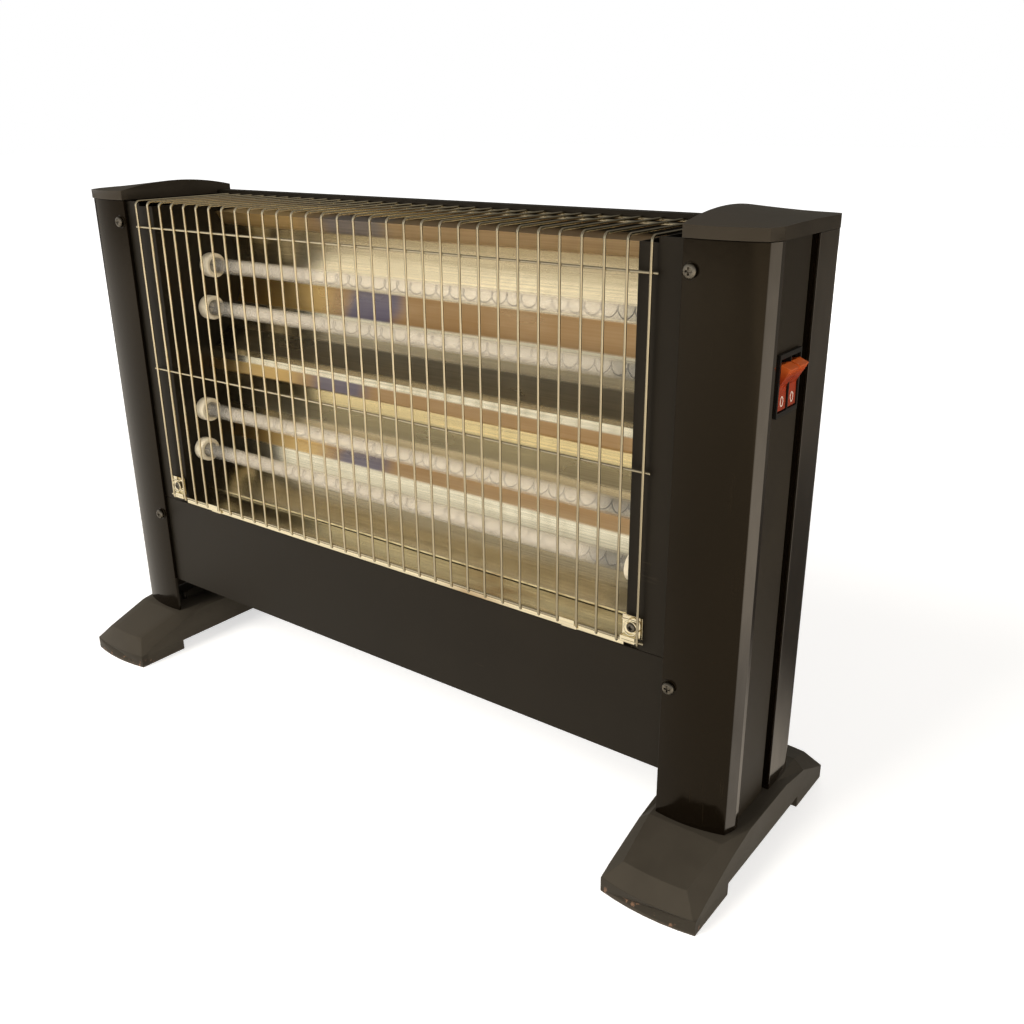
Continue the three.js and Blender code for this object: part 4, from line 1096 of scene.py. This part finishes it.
class HEATER_OT_coils(bpy.types.Operator):
    """Makes the heating coils and their leads"""

    bl_idname = "heater.coils"
    bl_label = "Heating coils"

    def execute(self, context):
        curls, radius, wire = sizes().coil_curls, sizes().coil_radius, sizes().coil_wire
        half = mm(175.7)
        lead_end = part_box("heating_coil_1")[1].x
        start = Vector((-half, 0, radius))
        spin_start = (math.pi / 2, 0, 0)
        coil = begin(
            "coil_1", "circle", vertices=6, radius=wire / 2, location=start, rotation=spin_start
        )
        leave()
        modify(
            coil,
            "SCREW",
            axis="X",
            angle=math.tau,
            screw_offset=2 * half / curls,
            iterations=curls,
            steps=14,
            render_steps=14,
        )
        leads = []
        for side in (-1, 1):
            inner, outer = side * (half - mm(0.4)), side * lead_end
            middle, foot = ((inner + outer) / 2, 0, 0), (side * half, 0, radius / 2)
            leads.append(rod("lead", 8, wire / 2, abs(outer - inner), middle))
            leads.append(rod("riser", 8, wire / 2, radius, foot, (0, 0, 0)))
        joined(coil, *leads)
        outward(coil)
        soften(coil, 0, smooth=60)
        first = tube_centre(1)
        place = Vector((0, first.y, first.z))
        whole(coil, bpy.ops.transform.translate, value=place)
        others = [copied(coil, f"coil_{number}", tube_centre(number) - first) for number in (2, 3, 4)]
        for number, piece in enumerate([coil, *others], 1):
            settle(piece, finish_of("coil_wire"), "coil_wire", f"heating_coil_{number}")
        return {"FINISHED"}


class HEATER_OT_ceramics(bpy.types.Operator):
    """Makes the ceramic caps on the tubes' ends"""

    bl_idname = "heater.ceramics"
    bl_label = "Ceramic caps"

    def execute(self, context):
        profile = [
            (181.4, 5.65),
            (181.4, 7.9),
            (182.0, 8.5),
            (189.2, 8.5),
            (189.7, 8.0),
            (189.7, 6.0),
            (196.6, 6.0),
            (197.0, 5.6),
            (197.0, 1.6),
            (188.0, 1.6),
            (188.0, 5.6),
            (181.7, 5.6),
        ]
        first = tube_centre(1)
        cap = lathe("ceramic_1_right", profile, Vector((0, first.y, first.z)), 40)
        soften(cap, mm(0.25), 2, 30, 40)
        pieces = [(1, cap)]
        for number in (2, 3, 4):
            move = tube_centre(number) - first
            pieces.append((number, copied(cap, f"ceramic_{number}_right", move)))
        for number, piece in pieces:
            other = twin(piece, f"ceramic_{number}_left")
            for side, one in (("right", piece), ("left", other)):
                node = f"ceramic_cap_{number}_{side}"
                settle(one, finish_of("ceramic_white"), "ceramic_white", node)
        return {"FINISHED"}


# the guard, in millimetres: its upright wires and how far the outer ones stand from the middle,
# the bends at their feet and tops, and how deep a weld sinks one wire in another
UPRIGHTS, GUARD_REACH = 32, 199.95
FOOT_BEND, TOP_BEND, WELD = 3.2, 3, 0.5
# the cross wires in front, by height, and on top, by setback, each with half its length
FRONT_ROWS = ((325.4, 203.55), (226.8, 203.55), (130.8, 203.55))
TOP_ROWS = ((18, 201.45), (36, 201.45))


class HEATER_OT_guard(bpy.types.Operator):
    """Makes the welded wire guard"""

    bl_idname = "heater.guard"
    bl_label = "Wire guard"

    def execute(self, context):
        radius = sizes().wire / 2
        low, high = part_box("guard")
        reach, bend, foot_bend = mm(GUARD_REACH), mm(TOP_BEND), mm(FOOT_BEND)
        front = low.y + radius
        top = high.z - radius
        foot = Vector((-reach, front, mm(131)))
        guard = begin("wire_guard", "circle", vertices=12, radius=radius, location=foot)
        turn(foot + Y * foot_bend, X, math.radians(45), 5)
        pick(guard, "VERT", lambda vertex: abs(vertex.co.z - foot.z) < mm(0.01))
        push(Z * (top - bend - foot.z))
        turn(Vector((-reach, front + bend, top - bend)), X, -math.pi / 2, 8)
        push(Y * (high.y - front - bend))
        bpy.ops.mesh.select_mode(type="EDGE")
        bpy.ops.mesh.select_all(action="DESELECT")
        bpy.ops.mesh.select_non_manifold()
        bpy.ops.mesh.fill_holes(sides=0)
        leave()
        outward(guard)
        soften(guard, mm(0.3), 2, 50, 50)
        set_out(guard, UPRIGHTS, (2 * reach / (UPRIGHTS - 1), 0, 0))
        wires = []
        crossing = front + 2 * radius - mm(WELD)
        under = top - 2 * radius + mm(WELD)
        rows = [(crossing, mm(height), half) for height, half in FRONT_ROWS]
        rows += [(mm(setback), under, half) for setback, half in TOP_ROWS]
        for y, z, half in rows:
            wire = rod("cross_wire", 12, radius, 2 * mm(half), (0, y, z))
            wires.append(soften(wire, mm(0.3), 2, 50, 50))
        joined(guard, *wires)
        settle(guard, finish_of("guard_wire"), "guard_wire", "guard")
        return {"FINISHED"}


class HEATER_OT_clips(bpy.types.Operator):
    """Makes the clips and tabs that hold the guard"""

    bl_idname = "heater.clips"
    bl_label = "Clips and tabs"

    def rims(self, side):
        """A pressed ring round the clip's screw and a bead along its top and bottom."""
        low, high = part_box(f"guard_clip_{side}")
        screw = middle_of(f"clip_screw_{side}")
        face = low.y + mm(0.1)
        ring = begin(
            "ring",
            "torus",
            major_radius=mm(4.1),
            minor_radius=mm(0.4),
            major_segments=40,
            minor_segments=8,
            location=(screw.x, face, screw.z),
            rotation=(math.pi / 2, 0, 0),
        )
        leave()
        beads = [soften(ring, 0, smooth=60)]
        for height in (low.z + mm(1.4), high.z - mm(1.4)):
            centre = ((low.x + high.x) / 2, face, height)
            bead = rod("bead", 12, mm(0.45), high.x - low.x - mm(2.4), centre)
            beads.append(soften(bead, mm(0.15), 2, 50, 60))
        return beads

    def execute(self, context):
        for side in ("right", "left"):
            clip = refined(f"guard_clip_{side}", f"clip_plate_{side}", mm(0.2))
            joined(clip, *self.rims(side))
            settle(clip, finish_of("bright_sheet"), "mirror_sheet", f"guard_clip_{side}")
            tab = refined(f"guard_tab_{side}", f"tab_hook_{side}", mm(0.2))
            settle(tab, finish_of("bright_sheet"), "mirror_sheet", f"guard_tab_{side}")
        return {"FINISHED"}


HEAD_HEIGHT = 2.2  # of a pan head over its seat, in millimetres


def pan_screw(name, head, seat, direction):
    """A pan-head screw with a cross recess, its head along a direction from its seat."""
    profile = [(-8, 0), (-8, 1.6), (-7.6, 1.9), (0, 1.9), (0, head * 0.97), (0.25, head)]
    for step in range(7):
        angle = math.pi / 2 * step / 6
        profile.append((0.9 + 1.3 * math.sin(angle), head - 1.6 * (1 - math.cos(angle))))
    profile.append((HEAD_HEIGHT, 0))
    screw = lathe(name, profile, seat, 32, direction)
    arm, width = head * 0.54, 0.55
    side = X
    other = direction.cross(side)
    for first, second in ((side, other), (other, side)):
        spread = [first * mm(arm), second * mm(width)]
        reach = sum((Vector(map(abs, part)) for part in spread), Vector())
        low = seat + direction * mm(1.0)
        high = seat + direction * mm(HEAD_HEIGHT + 1)
        corner_low = Vector(map(min, low, high)) - reach
        corner_high = Vector(map(max, low, high)) + reach
        recess = block("recess", corner_low, corner_high)
        leave()
        cut(screw, recess)
    return soften(screw, mm(0.08), 2, 35, 35)


class HEATER_OT_screws(bpy.types.Operator):
    """Makes the pan-head screws"""

    bl_idname = "heater.screws"
    bl_label = "Screws"

    def fitted(self, name, node, head, direction):
        """A screw whose head ends where the frame's does."""
        low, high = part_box(node)
        seat = (low + high) / 2
        seat.y = low.y + mm(HEAD_HEIGHT) if direction.y < 0 else high.y - mm(HEAD_HEIGHT)
        return pan_screw(name, head, seat, direction)

    def execute(self, context):
        first = self.fitted("case_screw_upper_right", "front_screw_upper_right", 3.5, -Y)
        drop = middle_of("front_screw_lower_right") - middle_of("front_screw_upper_right")
        lower = copied(first, "case_screw_lower_right", Z * drop.z)
        finish = finish_of("screw_steel")
        for row, piece in (("upper", first), ("lower", lower)):
            other = twin(piece, f"case_screw_{row}_left")
            settle(piece, finish, "screw_steel", f"front_screw_{row}_right")
            settle(other, finish, "screw_steel", f"front_screw_{row}_left")
        rear = self.fitted("back_screw_right", "rear_screw_right", 3.5, Y)
        settle_pair(rear, "back_screw", finish, "screw_steel", "rear_screw")
        clip = self.fitted("clip_fixing_right", "clip_screw_right", 2.8, -Y)
        settle_pair(clip, "clip_fixing", finish, "screw_steel", "clip_screw")
        return {"FINISHED"}


PIVOT = mm(252.3, 0, 274.3)
ROCKER_TILT = math.radians(14)
# a key's middle stands this far out from its pivot, and its ends rise past it over half its height
KEY_FACE, KEY_RISE, KEY_HALF = 5, 3, 10.9
KEY_SLOPE = math.atan2(KEY_RISE, KEY_HALF)
MARK_DROP = 6.6  # of the off mark below the pivot


def on_rocker(out, up, y):
    """A point of a rocker's side view about its pivot, as it stands when off."""
    sine, cosine = math.sin(ROCKER_TILT), math.cos(ROCKER_TILT)
    return PIVOT + mm(out * cosine + up * sine, 0, up * cosine - out * sine) + Y * y


class HEATER_OT_switch(bpy.types.Operator):
    """Makes the double rocker switch"""

    bl_idname = "heater.switch"
    bl_label = "Switch"

    def execute(self, context):
        housing = refined("switch_housing", "switch_frame", mm(0.45), 2)
        settle(housing, finish_of("switch_black"), "switch_black", "switch_housing")
        for side in ("front", "rear"):
            node = f"rocker_{side}"
            middle = middle_of(node).y
            key = refined(node, f"rocker_key_{side}", mm(0.35), 2)
            ridges = []
            for up in (7.4, 8.9):
                centre = on_rocker(KEY_FACE + KEY_RISE * up / KEY_HALF + 0.05, up, middle)
                ridge = begin("ridge", "cube", size=1, scale=mm(0.5, 8.4, 0.55))
                leave()
                soften(ridge, mm(0.12), 2)
                ridges.append(stood(ridge, ROCKER_TILT + KEY_SLOPE, centre))
            joined(key, *ridges)
            settle(key, finish_of("rocker_red"), "rocker_red", node, body=node)

            ring = begin(
                f"off_mark_{side}",
                "torus",
                major_radius=mm(2.1),
                minor_radius=mm(0.3),
                major_segments=32,
                minor_segments=8,
                rotation=(0, math.pi / 2, 0),
            )
            bpy.ops.transform.resize(value=(0.6, 0.72, 1.1))
            leave()
            out = KEY_FACE + KEY_RISE * MARK_DROP / KEY_HALF + 0.02
            stood(ring, ROCKER_TILT - KEY_SLOPE, on_rocker(out, -MARK_DROP, middle))
            soften(ring, 0, smooth=60)
            settle(ring, finish_of("mark_paint"), "rocker_red", body=node)
        return {"FINISHED"}


class HEATER_OT_inner(bpy.types.Operator):
    """Finishes the frame solids that stay as they are"""

    bl_idname = "heater.inner"
    bl_label = "Inner parts"

    def execute(self, context):
        for name, node in NODES.items():
            if node.hide_render:
                continue
            slot = node.data.materials[0].name.split(".")[0] if node.data.materials else ""
            slot = INNER_SLOTS.get(name.rsplit("_", 1)[0], INNER_SLOTS.get(name, slot))
            finish = finish_of(slot)
            for place in node.material_slots:
                place.material = finish
        return {"FINISHED"}


INNER_SLOTS = {
    "base_plate": "case_steel",
    "foot_screw_front": "screw_steel",
    "foot_screw_rear": "screw_steel",
    "rocker_axle": "screw_steel",
    "terminal_block": "block_plastic",
    "thermal_cutout": "block_plastic",
    "cable_bush": "bush_rubber",
    "wiring": "bush_rubber",
}


# ---------------------------------------------------------------- stage


class HEATER_OT_stage(bpy.types.Operator):
    """Makes the floor, the lights, the world and the camera"""

    bl_idname = "heater.stage"
    bl_label = "Stage"

    def execute(self, context):
        scene = context.scene
        scene.view_settings.view_transform = "Standard"
        self.floor()
        self.world(scene)
        for name, place, size, power, tint in LAMPS:
            self.lamp(name, Vector(place), size, power, tint)
        data = bpy.data.cameras.new("camera")
        data.lens, data.sensor_width = 36.36, 36
        data.clip_start, data.clip_end = 0.01, 50
        camera = bpy.data.objects.new("camera", data)
        scene.collection.objects.link(camera)
        camera.location = (0.44245, -0.47347, 0.39494)
        camera.rotation_euler = [math.radians(angle) for angle in (68.9856, 0.5053, 36.8256)]
        scene.camera = camera
        return {"FINISHED"}

    def floor(self):
        floor = begin("floor", "grid", x_subdivisions=4, y_subdivisions=4, size=24)
        leave()
        finish = Finish("floor")
        side, fore = finish.axis("X"), finish.axis("Y")
        mottle = finish.uneven(finish.noise(3, 2.0), 0.78, 0.8)
        lead = fore - finish.spread(side, 0.25, 5.25, 0.0, 3.75)
        front = finish.between(lead, 0.18, 0.02, 0.12, 1.0)
        glossy = finish.ray("Glossy")
        tone = finish.blend(mottle * (1 - glossy * (1 - front)), (0, 0, 0), (1, 1, 1))
        far = finish.between(side * side + fore * fore, 0.4, 2.5, 0.6, 1.0)
        right = finish.between(side, 0.42, 0.60, 0.24, 1.0)
        share = finish.straight() * far + glossy * right * front
        finish.set(Base_Color=tone, Roughness=1.0, Specular_IOR_Level=0.0)
        lit = finish.blend(glossy, (1, 1, 1), (1.0, 0.88, 0.70))
        finish.set(Emission_Color=finish.blend(share, (0, 0, 0), lit), Emission_Strength=1.0)
        floor.data.materials.append(finish.material)

    def world(self, scene):
        """A pale room, dimmer overhead and behind; the camera sees white all round."""
        scene.world = bpy.data.worlds.new("studio")
        scene.world.use_nodes = True
        room = Nodes(scene.world.node_tree)
        way = room.node("TexCoord", {}, output="Generated")
        high = room.between(room.parts(way, "Z"), 0.30, 0.75)
        behind = room.between(room.parts(way, "Y"), 0.05, 0.45)
        shown = room.blend(behind, (1, 1, 1), REAR_COLOUR)
        shown = room.blend(high, shown, OVERHEAD_COLOUR)
        lit = room.blend(high, WALL_COLOUR, CEILING_COLOUR)
        lit = room.blend(room.ray("Glossy"), lit, shown)
        lit = room.blend(room.straight(), lit, (1, 1, 1))
        room.connect(room.tree.nodes["Background"].inputs["Color"], lit)

    def lamp(self, name, place, size, power, tint):
        data = bpy.data.lights.new(name, "AREA")
        data.shape, data.size, data.energy, data.color = "SQUARE", size, power, tint
        lamp = bpy.data.objects.new(name, data)
        bpy.context.scene.collection.objects.link(lamp)
        lamp.visible_glossy = False
        lamp.location = place
        aim = Vector((0, 0, 0.18)) - place
        lamp.rotation_euler = aim.to_track_quat("-Z", "Y").to_euler()


# the room as it lights the object, and as gloss shows it overhead and behind
WALL_COLOUR = (0.46, 0.44, 0.41)
CEILING_COLOUR = (0.13, 0.125, 0.12)
OVERHEAD_COLOUR = (0.34, 0.32, 0.29)
REAR_COLOUR = (0.12, 0.115, 0.10)

# each lamp: its name, place, side, power and colour
LAMPS = [
    ("key_lamp", (-0.9, -2.2, 1.9), 1.5, 78, (1.0, 0.95, 0.87)),
    ("fill_lamp", (2.4, -1.0, 1.1), 1.4, 28, (1.0, 0.94, 0.86)),
    ("back_lamp", (-0.6, 2.6, 1.0), 1.5, 24, (1.0, 0.97, 0.92)),
]


# ---------------------------------------------------------------- registration


PIECES = (
    HEATER_OT_feet,
    HEATER_OT_shells,
    HEATER_OT_side_panels,
    HEATER_OT_caps,
    HEATER_OT_case,
    HEATER_OT_louvres,
    HEATER_OT_mirror,
    HEATER_OT_tubes,
    HEATER_OT_coils,
    HEATER_OT_ceramics,
    HEATER_OT_guard,
    HEATER_OT_clips,
    HEATER_OT_screws,
    HEATER_OT_switch,
    HEATER_OT_inner,
    HEATER_OT_stage,
)


class HEATER_PT_panel(bpy.types.Panel):
    """Lists the pieces' operators and the settings"""

    bl_idname = "HEATER_PT_panel"
    bl_label = "Halogen heater"
    bl_space_type = "VIEW_3D"
    bl_region_type = "UI"
    bl_category = "Heater"

    def draw(self, context):
        for piece in PIECES:
            self.layout.operator(piece.bl_idname)
        for group in (context.scene.heater_sizes, context.scene.heater_colours):
            box = self.layout.box()
            for name in group.__annotations__:
                box.prop(group, name)


CLASSES = (HeaterSizes, HeaterColours, *PIECES, HEATER_PT_panel)


def register():
    for one in CLASSES:
        bpy.utils.register_class(one)
    bpy.types.Scene.heater_sizes = bpy.props.PointerProperty(type=HeaterSizes)
    bpy.types.Scene.heater_colours = bpy.props.PointerProperty(type=HeaterColours)


def unregister():
    del bpy.types.Scene.heater_colours
    del bpy.types.Scene.heater_sizes
    for one in reversed(CLASSES):
        bpy.utils.unregister_class(one)


def main():
    register()
    for piece in PIECES:
        getattr(bpy.ops.heater, piece.bl_idname.split(".")[1])()


if __name__ == "__main__":
    main()
